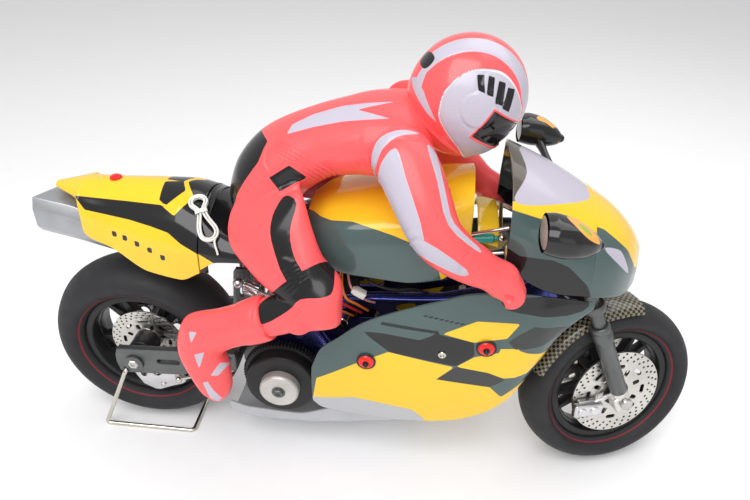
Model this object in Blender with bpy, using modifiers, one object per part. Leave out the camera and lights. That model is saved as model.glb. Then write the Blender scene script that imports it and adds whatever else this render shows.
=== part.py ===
"""Radio-controlled racing motorcycle at about one fifth scale, with a rider figure, on a wire stand.

Lengths are in millimetres, measured from the floor under the rear axle: +X forward, +Y to the
bike's left, +Z up. place() moves them to the frame whose origin is the middle of the footprint.
"""
import math

import bmesh
import bpy
from mathutils import Matrix, Vector

MM = 0.001
GAP = 0.3                     # clearance between neighbouring pieces

# Driving dimensions
HALF_LENGTH_X = 154.34        # from the rear axle to the middle of the overall length
WHEELBASE = 316.4
REAR_AXLE_Z = 66.0
REAR_RADIUS = 65.5
FRONT_AXLE_Z = 59.75
FRONT_RADIUS = 60.1
RIM_RADIUS = 42.2
RAKE = math.radians(24.0)
STEER = math.radians(20.5)    # the bars are turned to the left at rest
FORK_OFFSET = 3.0             # wheel centre ahead of the steering axis
LEG_Y = 22.0                  # fork legs from the mid-plane
SHAFT_X = 101.6               # drive shaft, which is also the swingarm pivot
SHAFT_Z = 65.0
MOTOR_X = 132.6
MOTOR_Z = 76.3
GEAR_RADIUS = 27.0
PLATE_Y = 29.0                # middle of the swingarm plates
FRAME_Y = 16.0                # middle of the frame plates
SPROCKET_Y = 24.0
STAND_X = -6.5                # hole in the swingarm that the stand turns in
STAND_Z = 59.5
STAND_WIRE = 1.5              # radius of the stand's wire
STAND_WEAR = 0.15             # depth of the flat worn on the wire where it meets the floor
SHELL = 1.4                   # wall of the body shells
ANTENNA_RADIUS = 0.65

SEGMENTS = 36

UP_FORK = Vector((-math.sin(RAKE), 0.0, math.cos(RAKE)))
AHEAD_FORK = Vector((math.cos(RAKE), 0.0, math.sin(RAKE)))
WHEEL_FRONT = Vector((WHEELBASE, 0.0, FRONT_AXLE_Z))
STEER_POINT = WHEEL_FRONT - FORK_OFFSET * AHEAD_FORK


def place(x, y, z):
    """A design point in millimetres as a world point in metres."""
    return Vector((x - HALF_LENGTH_X, y, z)) * MM


def fork_point(height, side=0.0, ahead=FORK_OFFSET):
    """A point of the fork before it is steered: height runs up the steering axis."""
    p = STEER_POINT + height * UP_FORK + ahead * AHEAD_FORK
    return (p.x, side, p.z)


# ---------------------------------------------------------------- scene and collections

for old in list(bpy.data.objects):
    bpy.data.objects.remove(old, do_unlink=True)

scene = bpy.context.scene
parts = bpy.data.collections.new("racing_motorcycle")
cutters = bpy.data.collections.new("cutters")
scene.collection.children.link(parts)
scene.collection.children.link(cutters)


def material(name, colour, roughness, metallic=0.0):
    made = bpy.data.materials.new(name)
    made.use_nodes = True
    shader = made.node_tree.nodes["Principled BSDF"]
    shader.inputs["Base Color"].default_value = (*colour, 1.0)
    shader.inputs["Roughness"].default_value = roughness
    shader.inputs["Metallic"].default_value = metallic
    made.diffuse_color = (*colour, 1.0)
    return made


PAINTS = {
    "tyre": ((0.03, 0.03, 0.032), 0.75, 0.0),
    "black": ((0.012, 0.012, 0.014), 0.35, 0.0),
    "black_gloss": ((0.01, 0.01, 0.012), 0.08, 0.0),
    "steel": ((0.62, 0.61, 0.58), 0.28, 1.0),
    "chrome": ((0.78, 0.77, 0.72), 0.12, 1.0),
    "silver": ((0.45, 0.46, 0.48), 0.4, 0.6),
    "grey_metal": ((0.16, 0.16, 0.155), 0.45, 0.8),
    "blue_metal": ((0.05, 0.07, 0.22), 0.3, 0.8),
    "yellow": ((0.86, 0.5, 0.03), 0.2, 0.0),
    "green": ((0.09, 0.14, 0.13), 0.2, 0.0),
    "suit": ((0.85, 0.1, 0.09), 0.42, 0.0),
    "red": ((0.75, 0.03, 0.02), 0.3, 0.0),
    "smoke": ((0.08, 0.075, 0.07), 0.1, 0.0),
    "carbon": ((0.05, 0.045, 0.035), 0.3, 0.0),
    "white": ((0.8, 0.8, 0.76), 0.5, 0.0),
    "brass": ((0.6, 0.42, 0.18), 0.35, 1.0),
}


def empty(name, x, y, z):
    made = bpy.data.objects.new(name, None)
    made.location = place(x, y, z)
    made.empty_display_size = 0.01
    parts.objects.link(made)
    return made


PIVOTS = {
    "chassis": empty("chassis_origin", 0.0, 0.0, 0.0),
    "swingarm": empty("swingarm_pivot", SHAFT_X, 0.0, SHAFT_Z),
    "rear_wheel": empty("rear_axle_line", 0.0, 0.0, REAR_AXLE_Z),
    "stand": empty("stand_pivot", STAND_X, 0.0, STAND_Z),
    "drive": empty("drive_axis", SHAFT_X, 0.0, SHAFT_Z),
    "motor": empty("motor_axis", MOTOR_X, 0.0, MOTOR_Z),
    "steering": empty("steering_axis", STEER_POINT.x, 0.0, STEER_POINT.z),
    "servo": empty("servo_axis", 215.0, 0.0, 118.0),
}
SHOCK_FRONT = (118.0, 116.0)
SHOCK_REAR = (76.0, 135.0)
PIVOTS["shock"] = empty("shock_pivot", SHOCK_FRONT[0], 0.0, SHOCK_FRONT[1])
bpy.context.view_layer.update()


# ---------------------------------------------------------------- modelling helpers

def finish(made, name, paint, pivot):
    """Names a piece, gives it its own material and hangs it on its pivot."""
    made.name = name
    made.data.name = name
    made.data.materials.clear()
    made.data.materials.append(material(name, *PAINTS[paint]))
    anchor = PIVOTS[pivot]
    tools = [step.object for step in made.modifiers if step.type == "BOOLEAN"]
    for piece in (made, *tools):
        piece.parent = anchor
        piece.matrix_parent_inverse = anchor.matrix_world.inverted()
    return made


def mesh_object(name, verts, faces, home=parts):
    data = bpy.data.meshes.new(name)
    data.from_pydata([tuple(v) for v in verts], [], faces)
    data.update()
    made = bpy.data.objects.new(name, data)
    home.objects.link(made)
    return made


def face_out(made):
    """Turns a closed mesh's faces outward."""
    shape = bmesh.new()
    shape.from_mesh(made.data)
    bmesh.ops.recalc_face_normals(shape, faces=shape.faces)
    shape.to_mesh(made.data)
    shape.free()
    return made


def smooth(made, angle=40.0):
    made.data.shade_smooth()
    made.data.set_sharp_from_angle(angle=math.radians(angle))
    return made


def as_mesh(made):
    """The evaluated object as a plain mesh with welded seams."""
    bpy.context.view_layer.update()
    depsgraph = bpy.context.evaluated_depsgraph_get()
    data = bpy.data.meshes.new_from_object(made.evaluated_get(depsgraph))
    shape = bmesh.new()
    shape.from_mesh(data)
    bmesh.ops.remove_doubles(shape, verts=shape.verts, dist=1e-6)
    bmesh.ops.recalc_face_normals(shape, faces=shape.faces)
    shape.to_mesh(data)
    shape.free()
    solid = bpy.data.objects.new(made.name + "_mesh", data)
    solid.matrix_world = made.matrix_world
    for home in made.users_collection:
        home.objects.link(solid)
    bpy.data.objects.remove(made, do_unlink=True)
    return solid


def combine(made, other, operation):
    """Joins or cuts a piece with another solid, which then becomes a hidden tool."""
    tool = other
    for home in list(tool.users_collection):
        home.objects.unlink(tool)
    cutters.objects.link(tool)
    tool.hide_render = True
    tool.display_type = "WIRE"
    tool.name = "tool_" + made.name
    step = made.modifiers.new(operation.lower(), "BOOLEAN")
    step.operation = operation
    step.solver = "EXACT"
    step.object = tool
    return made


def box(centre, size, bevel=0.0):
    bpy.ops.mesh.primitive_cube_add(size=1.0, location=place(*centre))
    made = bpy.context.active_object
    for home in list(made.users_collection):
        home.objects.unlink(made)
    parts.objects.link(made)
    made.data.transform(Matrix.Diagonal((*[s * MM for s in size], 1.0)))
    if bevel:
        edge = made.modifiers.new("edges", "BEVEL")
        edge.width = bevel * MM
        edge.segments = 1
    return made


def turned(profile, centre, closed=True, steps=SEGMENTS):
    """Turns a profile of (radius, distance toward -Y) about a line along Y."""
    count = len(profile)
    data = bpy.data.meshes.new("profile")
    edges = [(i, i + 1) for i in range(count - 1)]
    if closed:
        edges.append((count - 1, 0))
    data.from_pydata([(r * MM, 0.0, h * MM) for r, h in profile], edges, [])
    made = bpy.data.objects.new("turned", data)
    parts.objects.link(made)
    made.location = place(*centre)
    made.rotation_euler = (math.pi / 2.0, 0.0, 0.0)
    spin = made.modifiers.new("turn", "SCREW")
    spin.steps = steps
    spin.render_steps = steps
    spin.use_merge_vertices = True
    spin.merge_threshold = 0.00005
    spin.use_smooth_shade = True
    return made


def ring_profile(inner, outer, near, far):
    """A flat ring: near and far are its faces' distances toward -Y, near the larger."""
    return [(outer, near), (outer, far), (inner, far), (inner, near)]


def rod(start, end, radius, sides=12):
    """A straight round bar between two design points."""
    a = place(*start)
    b = place(*end)
    shape = bmesh.new()
    bmesh.ops.create_cone(shape, cap_ends=True, segments=sides, radius1=radius * MM,
                          radius2=radius * MM, depth=(b - a).length)
    data = bpy.data.meshes.new("rod")
    shape.to_mesh(data)
    shape.free()
    made = bpy.data.objects.new("rod", data)
    parts.objects.link(made)
    turn = (b - a).to_track_quat("Z", "Y").to_matrix().to_4x4()
    made.matrix_world = Matrix.Translation((a + b) / 2.0) @ turn
    return made


def tube(points, radii, resolution=2):
    """A round tube through points, with one radius for each point."""
    data = bpy.data.curves.new("tube", "CURVE")
    data.dimensions = "3D"
    data.bevel_depth = MM
    data.bevel_resolution = resolution
    data.render_resolution_u = 0
    data.use_fill_caps = True
    spline = data.splines.new("POLY")
    spline.points.add(len(points) - 1)
    for item, p, r in zip(spline.points, points, radii):
        item.co = (*place(*p), 1.0)
        item.radius = r
    made = bpy.data.objects.new("tube", data)
    parts.objects.link(made)
    return made


def rounded(points, radius, steps=3):
    """The same path with its corners rounded off."""
    path = [Vector(points[0])]
    for before, corner, after in zip(points, points[1:], points[2:]):
        c = Vector(corner)
        to_before = (Vector(before) - c).normalized()
        to_after = (Vector(after) - c).normalized()
        a = c + to_before * radius
        b = c + to_after * radius
        for i in range(steps + 1):
            t = i / steps
            path.append(a * (1 - t) ** 2 + c * 2 * t * (1 - t) + b * t ** 2)
    path.append(Vector(points[-1]))
    return path


def plate(outline, middle_y, thickness, holes=()):
    """A flat plate in an X-Z plane; outline and holes are lists of (x, z)."""
    data = bpy.data.curves.new("plate", "CURVE")
    data.dimensions = "2D"
    data.fill_mode = "BOTH"
    data.extrude = thickness * MM / 2.0
    data.render_resolution_u = 0
    for loop in (outline, *holes):
        spline = data.splines.new("POLY")
        spline.points.add(len(loop) - 1)
        spline.use_cyclic_u = True
        for item, (x, z) in zip(spline.points, loop):
            item.co = ((x - HALF_LENGTH_X) * MM, z * MM, 0.0, 1.0)
    made = bpy.data.objects.new("plate", data)
    made.rotation_euler = (math.pi / 2.0, 0.0, 0.0)
    made.location = (0.0, middle_y * MM, 0.0)
    parts.objects.link(made)
    return as_mesh(made)


def circle(x, z, radius, count=16):
    return [(x + radius * math.cos(2 * math.pi * i / count),
             z + radius * math.sin(2 * math.pi * i / count)) for i in range(count)]


def shell(rows, thickness=SHELL, skip=(), inward=1.0):
    """A thin wall inside a grid of design points; skip lists (row, column) cells left open."""
    wide = len(rows[0])
    verts = [place(*p) for row in rows for p in row]
    faces = []
    for i in range(len(rows) - 1):
        for j in range(wide - 1):
            if (i, j) not in skip:
                a = i * wide + j
                faces.append((a, a + 1, a + wide + 1, a + wide))
    made = mesh_object("shell", verts, faces)
    shape = bmesh.new()
    shape.from_mesh(made.data)
    bmesh.ops.delete(shape, geom=[v for v in shape.verts if not v.link_faces], context="VERTS")
    shape.to_mesh(made.data)
    shape.free()
    wall = made.modifiers.new("wall", "SOLIDIFY")
    wall.thickness = thickness * MM
    wall.offset = inward
    return made


def mirrored(half):
    """A full arch from its near half, listed from the near lower edge to the top middle."""
    return list(half) + [(x, -y, z) for x, y, z in reversed(half[:-1])]


def arch_rows(stations):
    """Rows for a shell: each station is (x, [(half width, z), ...]) from lower edge to top."""
    return [mirrored([(x, -w, z) for w, z in half]) for x, half in stations]


def loft(rings, sides=12, grow=0.0):
    """A closed body through oval rings: (centre, half depth vector, half width vector)."""
    verts = []
    for centre, depth, width in rings:
        deep = Vector(depth)
        wide = Vector(width)
        deep = deep.normalized() * (deep.length + grow)
        wide = wide.normalized() * (wide.length + grow)
        for k in range(sides):
            angle = 2 * math.pi * k / sides
            p = Vector(centre) + deep * math.cos(angle) + wide * math.sin(angle)
            verts.append(place(*p))
    faces = []
    for i in range(len(rings) - 1):
        for k in range(sides):
            a = i * sides + k
            b = i * sides + (k + 1) % sides
            faces.append((a, b, b + sides, a + sides))
    faces.append(tuple(range(sides)))
    faces.append(tuple(range((len(rings) - 1) * sides, len(rings) * sides)))
    return face_out(mesh_object("loft", verts, faces))


def ellipsoid(centre, radii, pitch=0.0, sides=16, rings=10):
    """An oval ball, tipped forward by pitch."""
    shape = bmesh.new()
    bmesh.ops.create_uvsphere(shape, u_segments=sides, v_segments=rings, radius=1.0)
    data = bpy.data.meshes.new("ball")
    shape.to_mesh(data)
    shape.free()
    data.transform(Matrix.Diagonal((*[r * MM for r in radii], 1.0)))
    made = bpy.data.objects.new("ball", data)
    made.matrix_world = Matrix.Translation(place(*centre)) @ Matrix.Rotation(pitch, 4, "Y")
    parts.objects.link(made)
    return made


# ---------------------------------------------------------------- wheels

REAR_TYRE = [(42.5, 14.5), (44.9, 17.5), (48.5, 20.2), (53.0, 20.7), (57.5, 18.4),
             (61.3, 13.8), (64.0, 7.6), (REAR_RADIUS, 0.0)]
FRONT_TYRE = [(42.5, 9.5), (44.9, 11.4), (47.5, 14.2), (50.5, 15.6), (54.0, 14.6),
              (57.3, 10.6), (59.3, 5.6), (FRONT_RADIUS, 0.0)]


def tyre(section, centre):
    far = [(r, -h) for r, h in reversed(section[:-1])]
    return smooth(as_mesh(turned(section + far, centre)), 60.0)


WINDOW_INNER = 19.0           # radii of the windows between the spokes
WINDOW_OUTER = 34.5


def rim(centre, hoop_half, hub_near, hub_far, bore, web_half):
    """A hoop, a hub and a web with five pairs of windows, joined into one casting."""
    hoop = as_mesh(turned(ring_profile(37.0, RIM_RADIUS, hoop_half, -hoop_half), centre))
    hub = as_mesh(turned(ring_profile(bore, 9.0, hub_near, -hub_far), centre, steps=24))
    windows = []
    for k in range(5):
        middle = 2 * math.pi * (k + 0.25) / 5
        corners = ((WINDOW_INNER, -0.27), (WINDOW_OUTER, -0.37), (WINDOW_OUTER, 0.0),
                   (WINDOW_OUTER, 0.37), (WINDOW_INNER, 0.27))
        windows.append([(centre[0] + r * math.cos(middle + a), centre[2] + r * math.sin(middle + a))
                        for r, a in corners])
    web = plate(circle(centre[0], centre[2], 38.5, SEGMENTS), centre[1], 2 * web_half,
                [circle(centre[0], centre[2], 7.0, 24), *windows])
    combine(hoop, web, "UNION")
    combine(hoop, hub, "UNION")
    return hoop


REAR = (0.0, 0.0, REAR_AXLE_Z)
FRONT = (WHEELBASE, 0.0, FRONT_AXLE_Z)

finish(tyre(REAR_TYRE, REAR), "rear_tyre", "tyre", "rear_wheel")
finish(rim(REAR, 13.5, 21.5, 25.8, 2.8, 4.0), "rear_rim", "black", "rear_wheel")
finish(as_mesh(turned(ring_profile(9.0 + GAP, 25.4, 8.7, 7.3), REAR)),
       "rear_brake_disc", "steel", "rear_wheel")
finish(as_mesh(turned(ring_profile(9.0 + GAP, 22.3, -SPROCKET_Y + 1.0, -SPROCKET_Y - 1.0), REAR)),
       "rear_sprocket", "steel", "rear_wheel")
finish(smooth(rod((0, -34, REAR_AXLE_Z), (0, 34, REAR_AXLE_Z), 2.5)),
       "rear_axle", "steel", "rear_wheel")

finish(tyre(FRONT_TYRE, FRONT), "front_tyre", "tyre", "steering")
finish(rim(FRONT, 9.0, 16.1, 16.1, 2.3, 3.5), "front_rim", "black", "steering")
for side, name in ((1.0, "front_brake_disc_right"), (-1.0, "front_brake_disc_left")):
    faces_y = sorted((15.7 * side, 14.3 * side), reverse=True)
    finish(as_mesh(turned(ring_profile(9.0 + GAP, 31.0, *faces_y), FRONT)),
           name, "steel", "steering")
finish(smooth(rod((WHEELBASE, -26, FRONT_AXLE_Z), (WHEELBASE, 26, FRONT_AXLE_Z), 2.0)),
       "front_axle", "steel", "steering")

# ---------------------------------------------------------------- swingarm, chain and rear brake

PLATE_OUTLINE = [(-12.5, 65.5), (-10.5, 77.5), (40.0, 80.0), (70.5, 82.0), (70.5, 67.0),
                 (42.0, 63.0), (32.0, 58.5), (-8.5, 56.5)]
plate_holes = [circle(0.0, REAR_AXLE_Z, 2.5 + GAP), circle(STAND_X, STAND_Z, STAND_WIRE + GAP, 12)]


def swingarm():
    """Two axle plates, the bridge ahead of the tyre, the pivot block and two shock uprights."""
    made = plate(PLATE_OUTLINE, -PLATE_Y, 5.0, plate_holes)
    combine(made, plate(PLATE_OUTLINE, PLATE_Y, 5.0, plate_holes), "UNION")
    combine(made, box((69.0, 0.0, 73.0), (4.0, 2 * PLATE_Y + 4.8, 11.0)), "UNION")
    combine(made, box((90.0, 0.0, 67.0), (46.0, 27.0, 15.0)), "UNION")
    for side in (-1.0, 1.0):
        upright = [(66.6, 76.0), (66.6, 96.0), (71.0, 139.0), (81.0, 139.0), (80.0, 98.0), (71.0, 76.0)]
        combine(made, plate(upright, 15.5 * side, 3.0), "UNION")
    combine(made, rod((SHAFT_X, -20, SHAFT_Z), (SHAFT_X, 20, SHAFT_Z), 4.0 + GAP, 16), "DIFFERENCE")
    return made


finish(swingarm(), "swingarm", "grey_metal", "swingarm")


def racetrack(first, second, r1, r2, count=14):
    """The belt line round two circles, the first one behind the second."""
    gap = second[0] - first[0]
    lean = math.acos((r1 - r2) / gap)
    points = []
    for k in range(count + 1):
        a = lean + (2 * math.pi - 2 * lean) * k / count
        points.append((first[0] + r1 * math.cos(a), first[1] + r1 * math.sin(a)))
    for k in range(count // 2 + 1):
        a = -lean + 2 * lean * k / (count // 2)
        points.append((second[0] + r2 * math.cos(a), second[1] + r2 * math.sin(a)))
    return points


chain_ends = ((0.0, REAR_AXLE_Z), (SHAFT_X, SHAFT_Z))
finish(plate(racetrack(*chain_ends, 24.9, 12.4), SPROCKET_Y, 2.6, [racetrack(*chain_ends, 22.7, 10.2)]),
       "drive_chain", "steel", "swingarm")

bracket_outline = [(-7.0, 60.0), (-7.0, 72.0), (8.0, 72.0), (9.0, 62.0), (29.0, 57.0), (31.0, 47.0),
                   (20.0, 41.0), (11.0, 36.5), (0.0, 41.0)]
finish(plate(bracket_outline, -24.0, 3.0, [circle(0.0, REAR_AXLE_Z, 2.5 + GAP)]),
       "rear_caliper_bracket", "silver", "swingarm")
finish(box((17.0, -15.9, 46.0), (15.0, 12.6, 9.0), 1.0), "rear_caliper", "silver", "swingarm")

# ---------------------------------------------------------------- wire stand

stand_y = 28.9
stand_low = STAND_WIRE - STAND_WEAR
stand_side = [(STAND_X, -27.0, STAND_Z), (STAND_X, -33.6, STAND_Z), (-33.4, -stand_y, stand_low),
              (31.8, -stand_y, stand_low), (31.8, 0.0, stand_low)]
stand_path = rounded(stand_side + [(x, -y, z) for x, y, z in reversed(stand_side[:-1])], 1.8)
stand = as_mesh(tube(stand_path, [STAND_WIRE] * len(stand_path), 2))
combine(stand, box((0.0, 0.0, -5.0), (120.0, 120.0, 10.0)), "DIFFERENCE")
finish(stand, "rear_stand", "chrome", "stand")

# ---------------------------------------------------------------- drive train

GEAR_PROFILE = [(4.0 + GAP, 45.0), (12.5, 45.0), (13.0, 44.0), (13.0, 39.0), (22.5, 38.0), (24.0, 36.0),
                (24.0, 30.0), (GEAR_RADIUS, 30.0), (GEAR_RADIUS, 25.0), (4.0 + GAP, 25.0)]
finish(as_mesh(turned(GEAR_PROFILE, (SHAFT_X, 0.0, SHAFT_Z))), "drive_gear", "black", "drive")
finish(smooth(rod((SHAFT_X, -46, SHAFT_Z), (SHAFT_X, 27, SHAFT_Z), 4.0, 16)),
       "drive_shaft", "steel", "drive")
finish(as_mesh(turned(ring_profile(4.0 + GAP, 9.9, -SPROCKET_Y + 1.0, -SPROCKET_Y - 1.0),
                      (SHAFT_X, 0.0, SHAFT_Z), steps=20)), "front_sprocket", "steel", "drive")
PINION_PROFILE = [(0.0, 31.0), (5.6, 31.0), (5.6, 25.0), (1.6, 25.0), (1.6, 13.9), (0.0, 13.9)]
finish(as_mesh(turned(PINION_PROFILE, (MOTOR_X, 0.0, MOTOR_Z), closed=False, steps=16)),
       "motor_pinion", "brass", "motor")
finish(smooth(rod((MOTOR_X, -13.6, MOTOR_Z), (MOTOR_X, 13.6, MOTOR_Z), 15.5, 24)),
       "drive_motor", "silver", "chassis")

# ---------------------------------------------------------------- frame and electrics

FRAME_OUTLINE = [(92.0, 52.0), (86.0, 66.0), (89.0, 88.0), (98.0, 104.0), (110.0, 124.0),
                 (140.0, 129.0), (200.0, 134.0), (238.0, 146.0), (249.0, 155.0), (255.0, 159.0),
                 (268.0, 130.5), (262.0, 128.5), (215.0, 118.0), (180.0, 108.0), (160.0, 94.0),
                 (154.0, 74.0), (140.0, 56.0), (116.0, 48.0)]
frame_holes = [circle(SHAFT_X, SHAFT_Z, 4.0 + GAP), circle(MOTOR_X, MOTOR_Z, 3.0, 10),
               circle(*SHOCK_FRONT, 1.6, 10)]
finish(plate(FRAME_OUTLINE, -FRAME_Y - 2.2, 3.4, frame_holes), "frame_plate_right", "blue_metal", "chassis")
finish(plate(FRAME_OUTLINE, FRAME_Y + 2.2, 3.4, frame_holes), "frame_plate_left", "blue_metal", "chassis")


def along_fork(profile, steps=20):
    """Turns a profile of (radius, height) about the steering axis, before steering."""
    made = turned(profile, fork_point(0.0, 0.0, 0.0), steps=steps)
    made.matrix_world = Matrix.Translation(place(*fork_point(0.0, 0.0, 0.0))) @ Matrix.Rotation(-RAKE, 4, "Y")
    return as_mesh(made)


head = box((0.0, 0.0, 0.0), (17.0, 2 * (FRAME_Y + 0.2), 28.0))
head.matrix_world = Matrix.Translation(place(*fork_point(100.0, 0.0, -14.5))) @ Matrix.Rotation(-RAKE, 4, "Y")
combine(head, along_fork([(10.0, 117.0), (10.0, 83.0), (4.3, 83.0), (4.3, 117.0)]), "UNION")
finish(head, "steering_head", "blue_metal", "chassis")
finish(box((176.0, 0.0, 57.0), (46.0, 30.0, 24.0), 2.0), "battery_pack", "black", "chassis")
finish(box((205.0, 0.0, 98.0), (40.0, 20.0, 36.0), 0.8), "steering_servo", "black", "chassis")
finish(box((134.0, 0.0, 110.0), (26.0, 20.0, 24.0), 1.0), "receiver", "black", "chassis")
horn = rod((215.0, 0.0, 117.0), (215.0, 0.0, 120.0), 4.0, 14)
combine(horn, box((215.0, 6.5, 118.5), (5.0, 15.0, 2.0)), "UNION")
finish(horn, "servo_horn", "white", "servo")

# ---------------------------------------------------------------- shock absorber

SHOCK_Y = -25.3
SHOCK_EYE = 3.4
shock_front = Vector((SHOCK_FRONT[0], SHOCK_Y, SHOCK_FRONT[1]))
shock_rear = Vector((SHOCK_REAR[0], SHOCK_Y, SHOCK_REAR[1]))
shock_line = (shock_rear - shock_front).normalized()
shock_tilt = Matrix.Rotation(math.atan2(shock_line.x, shock_line.z), 4, "Y")


def shock_point(along):
    """A point on the shock: along runs from its front eye to its rear eye."""
    return shock_front + shock_line * along


cylinder = turned([(0.0, 9.0), (1.9, 9.0), (1.9, 28.0), (4.8, 28.0), (4.8, 2.8), (0.0, 2.8)],
                  shock_front, closed=False, steps=14)
cylinder.matrix_world = Matrix.Translation(place(*shock_front)) @ shock_tilt
cylinder = as_mesh(cylinder)
combine(cylinder, ellipsoid(shock_front, [SHOCK_EYE] * 3, 0.0, 12, 8), "UNION")
combine(cylinder, rod(shock_front, (SHOCK_FRONT[0], -17.0, SHOCK_FRONT[1]), 1.3, 8), "UNION")
finish(cylinder, "shock_cylinder", "steel", "shock")
piston = rod(shock_point(17.0), shock_point(45.0), 1.5, 10)
combine(piston, ellipsoid(shock_rear, [SHOCK_EYE] * 3, 0.0, 12, 8), "UNION")
finish(piston, "shock_rod", "chrome", "shock")


# ---------------------------------------------------------------- fork, front brake and fender

def crown():
    """Steering stem, two clamps and the two upper fork tubes."""
    made = rod(fork_point(76.0, 0, 0), fork_point(125.0, 0, 0), 4.0, 14)
    for low, high in ((76.0, 81.5), (118.5, 123.5)):
        block = box((0.0, 0.0, 0.0), (15.0, 2 * LEG_Y + 12.0, high - low), 1.0)
        middle = fork_point((low + high) / 2.0, 0.0, 1.5)
        block.matrix_world = Matrix.Translation(place(*middle)) @ Matrix.Rotation(-RAKE, 4, "Y")
        combine(made, block, "UNION")
    for side in (-LEG_Y, LEG_Y):
        combine(made, rod(fork_point(22.0, side), fork_point(126.0, side), 4.0, 14), "UNION")
    return made


finish(crown(), "fork_crown", "grey_metal", "steering")
LEG_PROFILE = [(6.3, 64.0), (6.3, 52.0), (5.5, 50.0), (5.5, -4.0), (4.3, -4.0), (4.3, 64.0)]
for side, name in ((-LEG_Y, "fork_leg_right"), (LEG_Y, "fork_leg_left")):
    leg = turned(LEG_PROFILE, (0.0, 0.0, 0.0), steps=18)
    leg.matrix_world = Matrix.Translation(place(*fork_point(0.0, side))) @ Matrix.Rotation(-RAKE, 4, "Y")
    leg = as_mesh(leg)
    hole = rod((WHEELBASE, side - 9, FRONT_AXLE_Z), (WHEELBASE, side + 9, FRONT_AXLE_Z), 2.0 + GAP, 12)
    combine(leg, hole, "DIFFERENCE")
    finish(leg, name, "grey_metal", "steering")

FENDER_SECTION = [(-15.2, 57.0), (-13.0, 61.2), (-7.0, 63.8), (0.0, 64.5), (7.0, 63.8), (13.0, 61.2),
                  (15.2, 57.0)]
fender_rows = []
for k in range(13):
    turn = math.radians(80.0 + 80.0 * k / 12.0)
    fender_rows.append([(WHEELBASE + r * math.cos(turn), y, FRONT_AXLE_Z + r * math.sin(turn))
                        for y, r in FENDER_SECTION])
finish(shell(fender_rows, 1.0, inward=-1.0), "front_fender", "carbon", "steering")
finish(box((WHEELBASE - 22.0, -20.0, FRONT_AXLE_Z - 7.0), (22.0, 7.4, 12.0), 1.0),
       "front_caliper", "silver", "steering")

# ---------------------------------------------------------------- body shells

TAIL = [(-41.0, [(3.0, 181.0), (3.0, 181.6), (2.4, 182.8), (0.0, 183.6)]),
        (-22.0, [(15.6, 179.6), (15.6, 180.6), (12.5, 184.6), (0.0, 187.0)]),
        (-20.0, [(19.5, 161.0), (19.0, 172.0), (15.0, 182.0), (0.0, 187.2)]),
        (0.0, [(24.0, 152.0), (23.0, 166.0), (16.0, 181.0), (0.0, 188.5)]),
        (22.0, [(28.5, 140.5), (28.5, 160.0), (19.0, 181.0), (0.0, 189.0)]),
        (42.0, [(32.0, 139.0), (32.0, 158.0), (21.0, 181.0), (0.0, 189.0)]),
        (56.0, [(34.5, 146.5), (34.0, 159.0), (22.0, 178.0), (0.0, 185.0)])]
finish(shell(arch_rows(TAIL)), "tail_cowl", "yellow", "chassis")

SEAT = [(56.8, [(34.7, 149.0), (34.0, 159.0), (22.0, 177.6), (0.0, 184.5)]),
        (68.0, [(36.0, 156.0), (35.0, 161.0), (25.0, 171.0), (0.0, 174.0)]),
        (88.0, [(36.0, 157.0), (35.0, 161.0), (27.0, 166.0), (0.0, 167.0)]),
        (110.0, [(33.0, 157.0), (32.0, 161.0), (25.0, 165.0), (0.0, 166.5)])]
finish(shell(arch_rows(SEAT)), "seat", "black_gloss", "chassis")

TANK = [(118.5, [(29.0, 157.0), (29.5, 166.0), (25.0, 179.0), (0.0, 184.0)]),
        (130.0, [(34.0, 158.0), (35.0, 168.0), (30.0, 184.0), (0.0, 190.0)]),
        (152.0, [(39.0, 157.0), (40.5, 168.0), (36.0, 187.0), (0.0, 196.0)]),
        (178.0, [(39.0, 155.0), (40.5, 168.0), (36.0, 190.0), (0.0, 201.0)]),
        (198.0, [(35.0, 156.0), (36.0, 170.0), (32.0, 195.0), (0.0, 207.0)]),
        (213.0, [(27.0, 168.0), (28.0, 180.0), (25.0, 200.0), (0.0, 210.0)])]
finish(shell(arch_rows(TANK)), "tank_cover", "yellow", "chassis")

FAIRING = [(123.5, 58.0, 88.0), (129.0, 52.0, 103.0), (141.0, 49.0, 114.5), (154.0, 47.5, 126.0),
           (177.0, 46.5, 138.0), (199.0, 47.5, 147.0), (216.0, 51.0, 153.5), (235.0, 61.0, 156.0),
           (247.0, 74.0, 156.5), (257.0, 97.0, 156.0), (270.0, 130.0, 155.0), (284.0, 149.0, 153.5)]
FAIRING_BOW = ((0.0, -2.5), (0.28, 1.8), (0.6, 3.6), (0.85, 2.2), (1.0, 0.0))


def fairing(side):
    """A side panel: stations of (x, lower edge, upper edge), bowed outward between them."""
    rows = []
    for x, low, high in FAIRING:
        half = 43.5 - 1.6 * max(0.0, (x - 255.0) / 29.0)
        rows.append([(x, side * (half + out * min(1.0, (high - low) / 60.0)), low + (high - low) * t)
                     for t, out in FAIRING_BOW])
    return shell(rows, inward=1.0 if side < 0.0 else -1.0)


finish(fairing(-1.0), "side_fairing_right", "green", "chassis")
finish(fairing(1.0), "side_fairing_left", "green", "chassis")

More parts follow.
